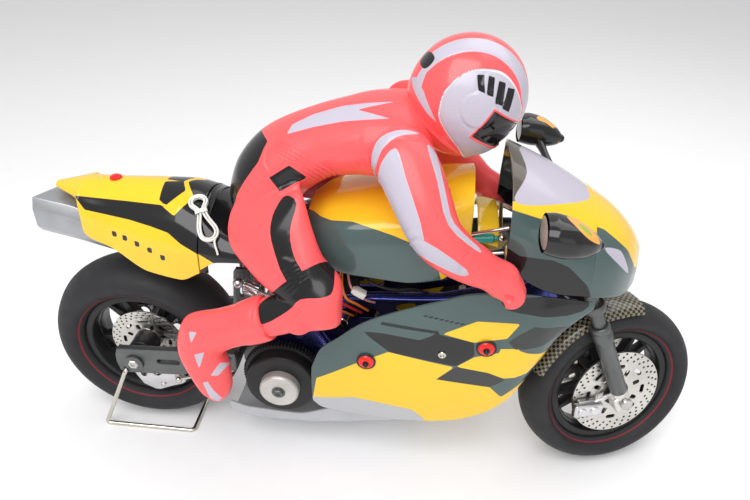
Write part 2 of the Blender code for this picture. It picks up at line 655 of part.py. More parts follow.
BELLY = [(63.0, [(30.0, 37.0), (29.5, 30.0), (21.0, 23.0), (0.0, 20.0)]),
         (78.0, [(34.5, 37.5), (34.0, 30.0), (25.0, 23.0), (0.0, 20.5)]),
         (110.0, [(36.0, 37.5), (35.5, 31.0), (26.0, 24.5), (0.0, 22.0)]),
         (136.0, [(38.0, 48.0), (36.5, 35.0), (27.0, 27.0), (0.0, 25.0)]),
         (160.0, [(39.0, 55.0), (36.5, 39.0), (27.0, 30.5), (0.0, 28.0)]),
         (200.0, [(37.5, 58.0), (34.0, 46.0), (25.5, 37.0), (0.0, 34.0)]),
         (228.0, [(35.0, 66.0), (31.0, 57.0), (22.0, 50.0), (0.0, 47.0)]),
         (244.0, [(28.0, 78.0), (24.0, 72.0), (16.0, 67.0), (0.0, 65.0)])]
finish(shell(arch_rows(BELLY), inward=-1.0), "belly_pan", "silver", "chassis")

NOSE = [(232.0, [(40.0, 176.0), (40.0, 190.0), (36.5, 205.0), (27.0, 217.0), (13.0, 224.0), (0.0, 226.0)]),
        (246.0, [(41.0, 163.0), (41.5, 184.0), (37.0, 201.5), (27.0, 212.0), (13.0, 217.5), (0.0, 219.0)]),
        (262.0, [(41.5, 157.0), (41.0, 178.0), (35.5, 197.0), (25.0, 205.5), (12.0, 209.5), (0.0, 211.0)]),
        (280.0, [(39.5, 155.0), (37.0, 172.0), (31.0, 189.5), (22.0, 196.0), (11.0, 199.5), (0.0, 201.0)]),
        (296.0, [(30.0, 150.0), (29.0, 166.0), (24.0, 180.0), (17.0, 186.5), (9.0, 189.5), (0.0, 190.5)]),
        (307.0, [(19.0, 146.0), (19.0, 158.0), (16.0, 170.0), (11.0, 176.0), (6.0, 179.0), (0.0, 180.0)]),
        (312.5, [(11.0, 148.0), (11.0, 156.0), (9.0, 164.0), (6.5, 168.5), (3.5, 171.0), (0.0, 172.0)])]
screen_cells = [(i, j) for i in range(3) for j in range(2, 8)]
finish(shell(arch_rows(NOSE), skip=screen_cells), "nose_cowl", "green", "chassis")


def screen_rows():
    """The windscreen follows the nose's opening, held a gap inside it, and rakes back at the top."""
    rows = []
    for x, half in NOSE[:4]:
        row = []
        for w, z in half[2:]:
            inset = 2.2 if w > 30.0 else 0.9
            row.append((x - (0.9 if x == 280.0 else 0.0), -max(0.0, w - inset), z - 0.2))
        rows.append(mirrored(row))
    back = [(x - 3.0 * (1.0 - abs(y) / 36.0), y, z + 0.8 * (1.0 - abs(y) / 36.0)) for x, y, z in rows[0]]
    rows[0] = back
    return rows


finish(shell(screen_rows(), 0.9), "windscreen", "smoke", "chassis")

silencer_rings = []
for x_near, x_far, z_mid, high in ((4.0, 4.0, 150.5, 11.0), (-30.0, -24.0, 161.0, 12.5),
                                   (-53.0, -41.0, 165.5, 12.0)):
    silencer_rings.append([(x_near if y < 0 else x_far, y, z_mid + dz) for y, dz in (
        (-15.0, -0.55 * high), (-15.0, 0.45 * high), (-12.0, high), (12.0, high), (15.0, 0.45 * high),
        (15.0, -0.55 * high), (11.0, -high), (-11.0, -high))])


def ring_loft(rings):
    """A closed body through rings of design points."""
    sides = len(rings[0])
    verts = [place(*p) for ring in rings for p in ring]
    faces = [tuple(range(sides)), tuple(range((len(rings) - 1) * sides, len(rings) * sides))]
    for i in range(len(rings) - 1):
        for k in range(sides):
            a = i * sides + k
            b = i * sides + (k + 1) % sides
            faces.append((a, b, b + sides, a + sides))
    return face_out(mesh_object("ring_loft", verts, faces))


finish(ring_loft(silencer_rings), "silencer", "silver", "chassis")

# The inner bracket bridges the frame in front of the tank.
finish(shell([[(217.0, y, 176.0 + h) for y, h in ((-24, 0), (-20, 9), (0, 12), (20, 9), (24, 0))],
              [(229.0, y, 174.0 + h) for y, h in ((-24, 0), (-20, 8), (0, 10), (20, 8), (24, 0))]]),
       "cowl_bracket", "yellow", "chassis")

for side, name in ((-1.0, "mirror_right"), (1.0, "mirror_left")):
    rings = [((243.5, 66.8 * side, 210.5), (1.5, 0.0, 8.3), (0.0, 11.0, 0.0)),
             ((252.0, 67.5 * side, 209.5), (1.0, 0.0, 9.3), (0.0, 11.5, 0.0)),
             ((262.0, 67.0 * side, 207.5), (0.5, 0.0, 7.5), (0.0, 8.5, 0.0)),
             ((271.0, 66.0 * side, 205.0), (0.0, 0.0, 3.0), (0.0, 3.0, 0.0))]
    housing = loft(rings)
    combine(housing, rod((256.0, 60.0 * side, 205.0), (262.0, 38.5 * side, 197.0), 2.2, 10), "UNION")
    finish(housing, name, "black", "chassis")

# ---------------------------------------------------------------- rider

TORSO = [((88.5, 0.0, 177.5), (17.0, 0.0, -3.0), (0.0, 24.0, 0.0)),
         ((90.5, 0.0, 186.0), (20.0, 0.0, -3.0), (0.0, 30.0, 0.0)),
         ((95.5, 0.0, 198.0), (21.0, 0.0, -7.0), (0.0, 31.0, 0.0)),
         ((106.5, 0.0, 211.0), (17.0, 0.0, -13.5), (0.0, 29.0, 0.0)),
         ((125.0, 0.0, 221.0), (11.5, 0.0, -16.5), (0.0, 27.5, 0.0)),
         ((144.0, 0.0, 226.0), (8.0, 0.0, -19.5), (0.0, 31.0, 0.0)),
         ((161.0, 0.0, 229.0), (5.5, 0.0, -21.5), (0.0, 34.0, 0.0)),
         ((177.0, 0.0, 234.0), (4.0, 0.0, -17.5), (0.0, 31.0, 0.0)),
         ((188.0, 0.0, 237.0), (3.0, 0.0, -11.0), (0.0, 17.0, 0.0))]
HELMET_CENTRE = (203.8, 0.0, 252.3)
HELMET_RADII = (31.5, 28.0, 33.0)
HELMET_PITCH = math.radians(35.0)
ARM = [((168.0, -30.0, 233.0), 15.5), ((175.0, -40.0, 229.0), 16.2), ((184.0, -52.0, 216.0), 15.2),
       ((192.0, -60.0, 202.0), 13.6), ((202.0, -61.0, 192.0), 12.4), ((214.0, -58.0, 183.0), 11.0),
       ((222.0, -55.5, 177.5), 10.0), ((230.0, -54.0, 172.5), 11.0), ((236.0, -54.0, 168.5), 8.5)]
LEG = [((96.0, -28.0, 198.0), (21.5, 0.0, 13.0), (0.0, 9.0, 0.0)),
       ((99.0, -36.0, 189.0), (22.0, 0.0, 14.5), (0.0, 11.5, 2.0)),
       ((108.0, -45.0, 177.0), (18.5, 0.0, 13.5), (0.0, 12.5, 4.0)),
       ((120.0, -53.0, 165.0), (14.0, 0.0, 10.0), (0.0, 12.5, 4.0)),
       ((133.0, -58.5, 157.0), (12.5, 0.0, 3.5), (0.0, 12.0, 3.0)),
       ((134.0, -59.0, 149.0), (11.0, 0.0, -9.5), (0.0, 11.5, 0.0)),
       ((117.0, -58.5, 143.0), (2.5, 0.0, -11.5), (0.0, 11.5, 0.0)),
       ((101.0, -58.0, 136.5), (4.0, 0.0, -11.0), (0.0, 11.0, 0.0)),
       ((89.5, -57.5, 131.0), (4.5, 0.0, -10.5), (0.0, 10.5, 0.0))]
BOOT = [((89.0, -57.5, 130.7), (4.8, 0.0, -11.6), (0.0, 11.8, 0.0)),
        ((76.0, -57.0, 125.0), (4.5, 0.0, -12.0), (0.0, 11.5, 0.0)),
        ((63.0, -56.5, 118.0), (10.0, 0.0, -12.5), (0.0, 11.0, 0.0)),
        ((60.5, -57.0, 106.0), (14.5, 0.0, -3.5), (0.0, 11.0, 0.0)),
        ((64.0, -58.0, 92.0), (12.5, 0.0, 2.0), (0.0, 11.0, 0.0)),
        ((67.5, -59.0, 80.0), (9.5, 0.0, 2.5), (0.0, 10.0, 0.0)),
        ((69.5, -59.5, 73.0), (5.0, 0.0, 1.5), (0.0, 6.0, 0.0))]


def other_side(point):
    return (point[0], -point[1], point[2])


def rider_side(rings, side):
    if side < 0.0:
        return rings
    return [(other_side(c), d, other_side(w)) for c, d, w in rings]


torso = loft(TORSO, 16)
combine(torso, ellipsoid(HELMET_CENTRE, [r + 0.5 for r in HELMET_RADII], HELMET_PITCH), "DIFFERENCE")
finish(torso, "rider_torso", "suit", "chassis")
finish(smooth(ellipsoid(HELMET_CENTRE, HELMET_RADII, HELMET_PITCH)), "rider_helmet", "suit", "chassis")
for side, label in ((-1.0, "right"), (1.0, "left")):
    arm_points = [p if side < 0.0 else other_side(p) for p, r in ARM]
    arm = as_mesh(tube(arm_points, [r for p, r in ARM], 3))
    combine(arm, loft(TORSO, 16, 0.5), "DIFFERENCE")
    combine(arm, ellipsoid(HELMET_CENTRE, [r + 0.5 for r in HELMET_RADII], HELMET_PITCH), "DIFFERENCE")
    finish(arm, "rider_arm_" + label, "suit", "chassis")
    leg = loft(rider_side(LEG, side), 12)
    combine(leg, loft(TORSO, 16, 0.5), "DIFFERENCE")
    finish(leg, "rider_leg_" + label, "suit", "chassis")
    finish(loft(rider_side(BOOT, side), 12), "rider_boot_" + label, "suit", "chassis")

# ---------------------------------------------------------------- caps, handlebar and antenna

CAP_PROFILE = [(0.0, 2.2), (3.0, 2.0), (5.0, 0.6), (5.0, 0.0), (0.0, 0.0)]


def cap(x, y, z, tilt, name):
    """A soft body cap: tilt turns it from facing -Y up toward +Z."""
    made = turned(CAP_PROFILE, (x, y, z), closed=False, steps=16)
    made.rotation_euler = (math.pi / 2.0 - tilt, 0.0, 0.0)
    finish(as_mesh(made), name, "red", "chassis")


cap(228.0, -47.8, 119.0, 0.0, "fairing_cap_front")
cap(158.0, -47.6, 100.5, 0.0, "fairing_cap_rear")
cap(197.0, -17.4, 202.2, 1.21, "tank_cap")

bar_side = [(232.0, -41.5, 169.0), (238.0, -32.0, 171.0), (248.0, -20.0, 172.0), (250.0, 0.0, 172.0)]
bar_path = rounded(bar_side + [other_side(p) for p in reversed(bar_side[:-1])], 3.0, 2)
finish(tube(bar_path, [2.0] * len(bar_path), 2), "handlebar", "steel", "chassis")

HANK_LINE = [((51.0, -11.3, 186.2), 3.0), ((53.5, -15.3, 184.3), 6.0), ((57.2, -21.6, 181.4), 3.0),
             ((61.2, -27.6, 175.3), 6.0), ((66.4, -32.8, 169.0), 3.2)]
ANTENNA = [(66.9, -33.4, 168.0), (67.9, -34.4, 166.6), (68.7, -35.2, 165.0), (69.2, -35.7, 163.4),
           (69.4, -35.9, 161.9)]


def hank():
    """The folded antenna wire: a flat bundle that follows the seat's side, waisted at its tie."""
    rings = []
    centres = [Vector(c) for c, w in HANK_LINE]
    for i, (centre, wide) in enumerate(zip(centres, [w for c, w in HANK_LINE])):
        run = (centres[min(i + 1, 4)] - centres[max(i - 1, 0)]).normalized()
        across = run.cross(Vector((0.2, -0.6, 0.77))).normalized()
        rings.append((centre, across.cross(run) * 1.5, across * wide))
    return loft(rings, 10)


finish(hank(), "antenna_hank", "white", "chassis")
finish(tube(ANTENNA, [ANTENNA_RADIUS] * len(ANTENNA), 2), "antenna_wire", "white", "chassis")

# ---------------------------------------------------------------- steering

steering = PIVOTS["steering"]
turn_bars = Matrix.Rotation(STEER, 4, UP_FORK)
steering.matrix_world = Matrix.Translation(steering.location) @ turn_bars
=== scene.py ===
"""Looks of the racing motorcycle with its rider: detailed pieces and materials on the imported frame.

Design points are in millimetres, measured from the floor under the rear axle: +X forward, +Y to
the motorcycle's left, +Z up. place() turns them into the frame's metres.
"""
import math

import bmesh
import bpy
import numpy as np
from mathutils import Matrix, Vector


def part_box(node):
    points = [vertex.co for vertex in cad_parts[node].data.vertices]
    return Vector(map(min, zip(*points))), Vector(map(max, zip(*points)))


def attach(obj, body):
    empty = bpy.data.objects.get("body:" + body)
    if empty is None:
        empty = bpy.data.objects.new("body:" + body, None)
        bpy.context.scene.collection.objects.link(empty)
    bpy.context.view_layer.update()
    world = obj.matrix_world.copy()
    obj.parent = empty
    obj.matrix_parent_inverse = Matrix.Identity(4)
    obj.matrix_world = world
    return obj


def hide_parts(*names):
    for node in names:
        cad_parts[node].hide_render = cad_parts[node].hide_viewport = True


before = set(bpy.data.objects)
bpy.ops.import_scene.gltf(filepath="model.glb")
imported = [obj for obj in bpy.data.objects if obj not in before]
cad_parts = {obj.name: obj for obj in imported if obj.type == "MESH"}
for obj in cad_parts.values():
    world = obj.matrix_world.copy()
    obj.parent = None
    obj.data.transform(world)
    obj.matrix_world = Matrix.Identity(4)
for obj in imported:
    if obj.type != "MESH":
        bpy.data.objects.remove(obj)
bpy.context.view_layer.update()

MM = 0.001
SIDES = ((-1, "right"), (1, "left"))
rear_low, rear_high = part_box("rear_tyre")
ORIGIN_X = (rear_low.x + rear_high.x) / 2

# Driving dimensions, in millimetres, as in the part
WHEELBASE = 316.4
REAR_AXLE_Z = 66
FRONT_AXLE_Z = 59.75
RAKE = math.radians(24)
STEER = math.radians(20.5)
FORK_OFFSET = 3
LEG_Y = 22
SHAFT = (101.6, 65)
MOTOR = (132.6, 76.3)
SHELL = 1.4
UP_FORK = Vector((-math.sin(RAKE), 0, math.cos(RAKE)))
AHEAD_FORK = Vector((math.cos(RAKE), 0, math.sin(RAKE)))
STEER_POINT = Vector((WHEELBASE, 0, FRONT_AXLE_Z)) - FORK_OFFSET * AHEAD_FORK
ALONG_Y = Matrix.Rotation(math.pi / 2, 4, "X")      # turns +Z toward -Y
AGAINST_Y = Matrix.Rotation(-math.pi / 2, 4, "X")   # turns +Z toward +Y


def place(x, y, z):
    """A design point in millimetres as a point of the frame in metres."""
    return Vector((x * MM + ORIGIN_X, y * MM, z * MM))


def design(obj):
    """An object's vertices as design points in millimetres."""
    flat = np.empty(len(obj.data.vertices) * 3, np.float32)
    obj.data.vertices.foreach_get("co", flat)
    points = flat.reshape(-1, 3) @ np.array(obj.matrix_world.to_3x3()).T
    points = points + np.array(obj.matrix_world.translation)
    return (points - np.array((ORIGIN_X, 0, 0))) / MM


def fork_point(height, side=0, ahead=FORK_OFFSET):
    p = STEER_POINT + height * UP_FORK + ahead * AHEAD_FORK
    return (p.x, side, p.z)


# ---------------------------------------------------------------- materials

COAT_SHARE = 0.5                 # of a full clear coat


def paint(name, colour, rough=0.4, metal=0, coat=0, vary=0.12, grain=(900, 0.05), layers=(),
          smudge=0.12, edge_wear=0, **sockets):
    """A Principled material: mottled colour, uneven gloss and fine bump, then painted layers.

    layers are (attribute, colour, roughness): the attribute holds millimetres inside a painted edge.
    """
    made = bpy.data.materials.new(name)
    made.use_nodes = True
    nodes = made.node_tree.nodes
    link = made.node_tree.links.new
    shader = nodes["Principled BSDF"]
    shader.inputs["Metallic"].default_value = metal
    shader.inputs["Coat Weight"].default_value = COAT_SHARE * coat
    shader.inputs["Specular IOR Level"].default_value = 0.5 if metal > 0.3 else 0.32
    shader.inputs["Coat Roughness"].default_value = 0.06
    for key, value in sockets.items():
        shader.inputs[key.replace("_", " ")].default_value = value
    where = nodes.new("ShaderNodeTexCoord").outputs["Object"]

    def noise(scale, detail):
        made_noise = nodes.new("ShaderNodeTexNoise")
        made_noise.inputs["Scale"].default_value = scale
        made_noise.inputs["Detail"].default_value = detail
        link(where, made_noise.inputs["Vector"])
        return made_noise.outputs["Fac"]

    def spread(source, low, high):
        ramp = nodes.new("ShaderNodeMapRange")
        ramp.inputs["From Min"].default_value = 0.3
        ramp.inputs["From Max"].default_value = 0.7
        ramp.inputs["To Min"].default_value = low
        ramp.inputs["To Max"].default_value = high
        link(source, ramp.inputs["Value"])
        return ramp.outputs["Result"]

    def blend(kind, factor, first, second):
        mix = nodes.new("ShaderNodeMix")
        mix.data_type = kind
        link(factor, mix.inputs["Factor"])
        ends = {"RGBA": (6, 7), "FLOAT": (2, 3)}[kind]
        for slot, value in zip(ends, (first, second)):
            if hasattr(value, "is_linked"):
                link(value, mix.inputs[slot])
            else:
                mix.inputs[slot].default_value = value
        return mix.outputs[{"RGBA": 2, "FLOAT": 0}[kind]]

    dark = (*[c * (1 - vary) for c in colour], 1)
    light = (*[min(1, c * (1 + 0.5 * vary)) for c in colour], 1)
    tint = blend("RGBA", spread(noise(60, 3), 0, 1), dark, light)
    gloss = spread(noise(140, 4), max(0.02, rough * (1 - smudge)), min(1, rough * (1 + smudge)))
    for attribute, layer_colour, layer_rough in layers:
        field = nodes.new("ShaderNodeAttribute")
        field.attribute_name = attribute
        inside = nodes.new("ShaderNodeMapRange")
        inside.inputs["From Min"].default_value = -0.12
        inside.inputs["From Max"].default_value = 0.12
        link(field.outputs["Fac"], inside.inputs["Value"])
        tint = blend("RGBA", inside.outputs["Result"], tint, (*layer_colour, 1))
        gloss = blend("FLOAT", inside.outputs["Result"], gloss, layer_rough)
    if edge_wear:
        edges = nodes.new("ShaderNodeNewGeometry")
        worn = nodes.new("ShaderNodeMapRange")
        worn.inputs["From Min"].default_value = 0.53
        worn.inputs["From Max"].default_value = 0.62
        worn.inputs["To Max"].default_value = edge_wear
        link(edges.outputs["Pointiness"], worn.inputs["Value"])
        tint = blend("RGBA", worn.outputs["Result"], tint, (*[min(1, 0.25 + 1.5 * c) for c in colour], 1))
    link(tint, shader.inputs["Base Color"])
    link(gloss, shader.inputs["Roughness"])
    if grain[1]:
        bump = nodes.new("ShaderNodeBump")
        bump.inputs["Strength"].default_value = grain[1]
        bump.inputs["Distance"].default_value = 0.0004
        link(noise(grain[0], 2), bump.inputs["Height"])
        link(bump.outputs["Normal"], shader.inputs["Normal"])
    return made


BLACK = (0.009, 0.009, 0.010)
YELLOW = (0.84, 0.53, 0.022)
GREEN = (0.062, 0.102, 0.098)
LILAC = (0.47, 0.44, 0.52)
CORAL = (0.93, 0.10, 0.105)
RED = (0.75, 0.015, 0.012)

MATERIALS = {
    "rubber": paint("rubber", (0.022, 0.022, 0.024), 0.62, grain=(1800, 0.12),
                    layers=[("stripe", (0.20, 0.010, 0.018), 0.5)]),
    "plastic": paint("plastic", (0.012, 0.012, 0.013), 0.34, grain=(1500, 0.08), edge_wear=0.05),
    "dull": paint("dull", (0.03, 0.03, 0.032), 0.6, grain=(1500, 0.1)),
    "steel": paint("steel", (0.56, 0.55, 0.53), 0.26, 1, grain=(2600, 0.06)),
    "disc": paint("disc", (0.62, 0.60, 0.56), 0.30, 1, grain=(2600, 0.08)),
    "chrome": paint("chrome", (0.62, 0.60, 0.52), 0.13, 1, grain=(400, 0.02)),
    "aluminium": paint("aluminium", (0.66, 0.65, 0.66), 0.33, 1, grain=(2400, 0.08)),
    "hub_metal": paint("hub_metal", (0.55, 0.54, 0.51), 0.42, 0.5, grain=(2400, 0.08)),
    "grey_metal": paint("grey_metal", (0.13, 0.135, 0.135), 0.38, 0.7, grain=(1800, 0.06)),
    "blue_metal": paint("blue_metal", (0.055, 0.065, 0.24), 0.26, 0.85, grain=(2200, 0.05)),
    "brass": paint("brass", (0.62, 0.43, 0.18), 0.3, 1, grain=(2200, 0.05)),
    "silver": paint("silver", (0.36, 0.365, 0.385), 0.36, 0.55, coat=0.2, grain=(3000, 0.06)),
    "red_cap": paint("red_cap", RED, 0.22, coat=0.6, grain=(700, 0.02)),
    "white": paint("white", (0.74, 0.73, 0.69), 0.42, grain=(1500, 0.08)),
    "yellow_paint": paint("yellow_paint", YELLOW, 0.12, coat=0.8, vary=0.05, grain=(250, 0.015)),
    "teal": paint("teal", (0.02, 0.30, 0.24), 0.2, coat=0.4, grain=(900, 0.04)),
    "mirror": paint("mirror", (0.42, 0.44, 0.43), 0.42, 0.6, grain=(300, 0.01)),
}
WIRE_COLOURS = {"orange_wire": (0.72, 0.17, 0.02), "red_wire": (0.55, 0.02, 0.02),
                "pink_wire": (0.72, 0.30, 0.30),
                "brown_wire": (0.10, 0.04, 0.02), "black_wire": (0.015, 0.015, 0.015)}
for wire_name, wire_colour in WIRE_COLOURS.items():
    MATERIALS[wire_name] = paint(wire_name, wire_colour, 0.4, grain=(1500, 0.06))

# ---------------------------------------------------------------- modelling helpers

def linked(name, data):
    """A new object of the scene with its data."""
    made = bpy.data.objects.new(name, data)
    bpy.context.scene.collection.objects.link(made)
    return made


def toward(direction):
    """The turn that takes +Z to a direction."""
    return Vector(direction).to_track_quat("Z", "Y").to_matrix().to_4x4()


def mesh_object(name, verts, faces, uv=None):
    """A mesh through design points."""
    data = bpy.data.meshes.new(name)
    data.from_pydata([place(*v) for v in verts], [], faces)
    if uv is not None:
        layer = data.uv_layers.new(name="surface")
        for corner in data.loops:
            layer.data[corner.index].uv = uv[corner.vertex_index]
    data.update()
    return linked(name, data)


def smooth(made, angle=40):
    made.data.shade_smooth()
    made.data.set_sharp_from_angle(angle=math.radians(angle))
    return made


def settle(made, angle=40):
    """The object with its modifiers applied and its place in its mesh."""
    bpy.context.view_layer.update()
    data = bpy.data.meshes.new_from_object(made.evaluated_get(bpy.context.evaluated_depsgraph_get()))
    data.transform(made.matrix_world)
    solid = linked(made.name, data)
    bpy.data.objects.remove(made, do_unlink=True)
    return smooth(solid, angle)


def weld(made, distance=1e-6):
    shape = bmesh.new()
    shape.from_mesh(made.data)
    bmesh.ops.remove_doubles(shape, verts=shape.verts, dist=distance)
    bmesh.ops.recalc_face_normals(shape, faces=shape.faces)
    shape.to_mesh(made.data)
    shape.free()
    return made


def modifier(made, kind, **values):
    step = made.modifiers.new(kind.lower(), kind)
    for key, value in values.items():
        setattr(step, key, value)
    return made


def joined(pieces, name):
    """Several settled objects as one."""
    shape = bmesh.new()
    for piece in pieces:
        part = piece.data.copy()
        part.transform(piece.matrix_world)
        shape.from_mesh(part)
        bpy.data.meshes.remove(part)
        bpy.data.objects.remove(piece, do_unlink=True)
    data = bpy.data.meshes.new(name)
    shape.to_mesh(data)
    shape.free()
    return smooth(linked(name, data))


def eased(knots, values, at):
    """Values between the knots on smooth curves that never overshoot them."""
    steps = np.diff(knots)[:, None]
    slopes = np.diff(values, axis=0) / steps
    tangents = np.zeros_like(values)
    before, after = slopes[:-1], slopes[1:]
    turning = before * after <= 0
    safe_before = np.where(turning, 1, before)
    safe_after = np.where(turning, 1, after)
    w1 = 2 * steps[1:] + steps[:-1]
    w2 = steps[1:] + 2 * steps[:-1]
    tangents[1:-1] = np.where(turning, 0, (w1 + w2) / (w1 / safe_before + w2 / safe_after))
    tangents[0], tangents[-1] = slopes[0], slopes[-1]
    i = np.clip(np.searchsorted(knots, at, side="right") - 1, 0, len(steps) - 1)
    s = ((at - knots[i]) / steps[i, 0])[:, None]
    h = steps[i]
    return ((1 + 2 * s) * (1 - s) ** 2 * values[i] + s * (1 - s) ** 2 * h * tangents[i]
            + s * s * (3 - 2 * s) * values[i + 1] + s * s * (s - 1) * h * tangents[i + 1])


def refined(rows, cell):
    """Rows of values (R, C, k) resampled along R at about one row for each cell of travel."""
    rows = np.array(rows, float)
    travel = np.linalg.norm(np.diff(rows, axis=0), axis=2).mean(axis=1)
    knots = np.concatenate(([0], np.cumsum(travel)))
    count = max(2, int(round(knots[-1] / cell)) + 1)
    at = np.linspace(0, knots[-1], count)
    at = np.unique(np.concatenate((at, knots)))
    at = at[np.concatenate(([True], np.diff(at) > 0.2 * cell))]
    out = eased(knots, rows.reshape(len(rows), -1), at)
    return out.reshape(len(at), rows.shape[1], rows.shape[2]), at


def skin(name, rows, cell=1.6, thickness=SHELL, inward=1, rim=0.25):
    """A smooth sheet through a coarse grid of design points, with a wall and rounded rims."""
    fine, travel = refined(rows, cell)
    crossed, width = refined(fine.transpose(1, 0, 2), cell)
    grid = crossed.transpose(1, 0, 2)
    high, wide = grid.shape[:2]
    faces = [(i * wide + j, i * wide + j + 1, (i + 1) * wide + j + 1, (i + 1) * wide + j)
             for i in range(high - 1) for j in range(wide - 1)]
    uv = [(u, v) for u in travel for v in width]
    made = mesh_object(name, grid.reshape(-1, 3), faces, uv)
    if thickness:
        modifier(made, "SOLIDIFY", thickness=thickness * MM, offset=inward)
        if rim:
            modifier(made, "BEVEL", width=rim * MM, segments=2, limit_method="ANGLE",
                     angle_limit=math.radians(50))
    return settle(made)


def mirrored(half):
    return list(half) + [(x, -y, z) for x, y, z in reversed(half[:-1])]


def arch_rows(stations):
    return [mirrored([(x, -w, z) for w, z in half]) for x, half in stations]


def turned(name, profile, centre=(0, 0, 0), turn=ALONG_Y, steps=96, shade=35):
    """A profile of (radius, height) turned about its axis; an open profile starts and ends anywhere."""
    count = len(profile)
    spin = Matrix.Translation(place(*centre)) @ turn
    verts, faces = [], []
    for k in range(steps):
        a = 2 * math.pi * k / steps
        verts += [(r * math.cos(a), r * math.sin(a), h) for r, h in profile]
    for k in range(steps):
        a, b = k * count, ((k + 1) % steps) * count
        faces += [(a + i, b + i, b + i + 1, a + i + 1) for i in range(count - 1)]
    data = bpy.data.meshes.new(name)
    data.from_pydata([Vector(v) * MM for v in verts], [], faces)
    data.transform(spin)
    return smooth(weld(linked(name, data)), shade)


def arc(centre_r, centre_h, radius, start, end, steps=6):
    """Points of a rounded corner for a turned profile, angles in degrees."""
    return [(centre_r + radius * math.cos(math.radians(start + (end - start) * i / steps)),
             centre_h + radius * math.sin(math.radians(start + (end - start) * i / steps)))
            for i in range(steps + 1)]


def tube(name, points, radius, closed=False, smoothing=6, resolution=4, caps=True):
    """A round tube along a smooth line through design points; radius is one value or one a point."""
    radii = radius if hasattr(radius, "__len__") else [radius] * len(points)
    rows = np.array([[(*p, r)] for p, r in zip(points, radii)], float)
    if smoothing > 1 and len(points) > 2:
        steps = np.linalg.norm(np.diff(rows[:, 0, :3], axis=0), axis=1)
        knots = np.concatenate(([0], np.cumsum(steps)))
        at = np.unique(np.concatenate([np.linspace(a, b, smoothing + 1) for a, b in zip(knots, knots[1:])]))
        rows = curve_through(knots, rows[:, 0], at)[:, None]
    data = bpy.data.curves.new(name, "CURVE")
    data.dimensions = "3D"
    data.bevel_depth = MM
    data.bevel_resolution = resolution
    data.use_fill_caps = caps
    spline = data.splines.new("POLY")
    spline.points.add(len(rows) - 1)
    spline.use_cyclic_u = closed
    for item, row in zip(spline.points, rows[:, 0]):
        item.co = (*place(*row[:3]), 1)
        item.radius = row[3]
    return linked(name, data)


def curve_through(knots, values, at):
    """A rounded curve through its points (Catmull-Rom)."""
    padded = np.vstack((2 * values[0] - values[1], values, 2 * values[-1] - values[-2]))
    i = np.clip(np.searchsorted(knots, at, side="right") - 1, 0, len(knots) - 2)
    t = ((at - knots[i]) / (knots[i + 1] - knots[i]))[:, None]
    p0, p1, p2, p3 = padded[i], padded[i + 1], padded[i + 2], padded[i + 3]
    return 0.5 * (2 * p1 + (p2 - p0) * t + (2 * p0 - 5 * p1 + 4 * p2 - p3) * t ** 2
                  + (3 * p1 - p0 - 3 * p2 + p3) * t ** 3)


def solid_tube(name, points, radius, **options):
    return settle(tube(name, points, radius, **options), 50)


def plate(name, outline, middle_y, thickness, holes=(), edge=0.3):
    """A flat plate in an X-Z plane with rounded edges; outline and holes are lists of (x, z)."""
    data = bpy.data.curves.new(name, "CURVE")
    data.dimensions = "2D"
    data.fill_mode = "BOTH"
    data.extrude = (thickness / 2 - edge) * MM
    data.bevel_depth = edge * MM
    data.bevel_resolution = 1
    data.offset = -edge * MM
    for loop in (outline, *holes):
        spline = data.splines.new("POLY")
        spline.points.add(len(loop) - 1)
        spline.use_cyclic_u = True
        for item, (x, z) in zip(spline.points, loop):
            item.co = (x * MM + ORIGIN_X, z * MM, 0, 1)
    made = linked(name, data)
    made.matrix_world = Matrix.Translation((0, middle_y * MM, 0)) @ ALONG_Y
    return smooth(weld(settle(made)), 40)


def circle(x, z, radius, count=24):
    return [(x + radius * math.cos(2 * math.pi * i / count),
             z + radius * math.sin(2 * math.pi * i / count)) for i in range(count)]


def oval(x, z, length, width, angle, count=8):
    """A slot with round ends, its long way at an angle from +X."""
    points = []
    for end in (1, -1):
        for i in range(count + 1):
            a = math.pi * (i / count - 0.5) + (0 if end > 0 else math.pi)
            points.append((end * (length - width) / 2 + width / 2 * math.cos(a), width / 2 * math.sin(a)))
    c, s = math.cos(angle), math.sin(angle)
    return [(x + c * u - s * v, z + s * u + c * v) for u, v in points]


def block(name, centre, size, edge=0.6, turn=None, segments=3):
    """A block with rounded edges."""
    shape = bmesh.new()
    bmesh.ops.create_cube(shape, size=1)
    data = bpy.data.meshes.new(name)
    shape.to_mesh(data)
    shape.free()
    data.transform(Matrix.Diagonal((*[s * MM for s in size], 1)))
    made = linked(name, data)
    made.matrix_world = Matrix.Translation(place(*centre)) @ (turn or Matrix.Identity(4))
    modifier(made, "BEVEL", width=edge * MM, segments=segments)
    return settle(made, 30)


def rod(name, start, end, radius, edge=0.3, sides=32):
    """A straight bar with chamfered ends between two design points."""
    a, b = Vector(start), Vector(end)
    long = (b - a).length
    turn = toward(b - a)
    profile = [(0, 0), (radius - edge, 0), (radius, edge), (radius, long - edge),
               (radius - edge, long), (0, long)]
    return turned(name, profile, start, turn, sides)


def screw(name, centre, direction, radius=1.6, height=1.1):
    """A cap screw: a domed head with a hexagon socket."""
    turn = toward(direction)
    head = turned(name, [(0.55 * radius, 0.35 * height), (0.58 * radius, height), (0.85 * radius, height),
                         (radius, 0.75 * height), (radius, 0)], centre, turn, 24)
    socket = turned(name + "_socket", [(0, 0.35 * height), (0.6 * radius, 0.35 * height),
                                       (0.6 * radius, 0.2 * height)], centre, turn, 6)
    return joined([head, socket], name)


def steered(made):
    """Turns a piece about the steering axis to the angle it has at rest."""
    pivot = place(*STEER_POINT)
    turn = Matrix.Translation(pivot) @ Matrix.Rotation(STEER, 4, UP_FORK) @ Matrix.Translation(-pivot)
    made.data.transform(turn @ made.matrix_world)
    made.matrix_world = Matrix.Identity(4)
    return made


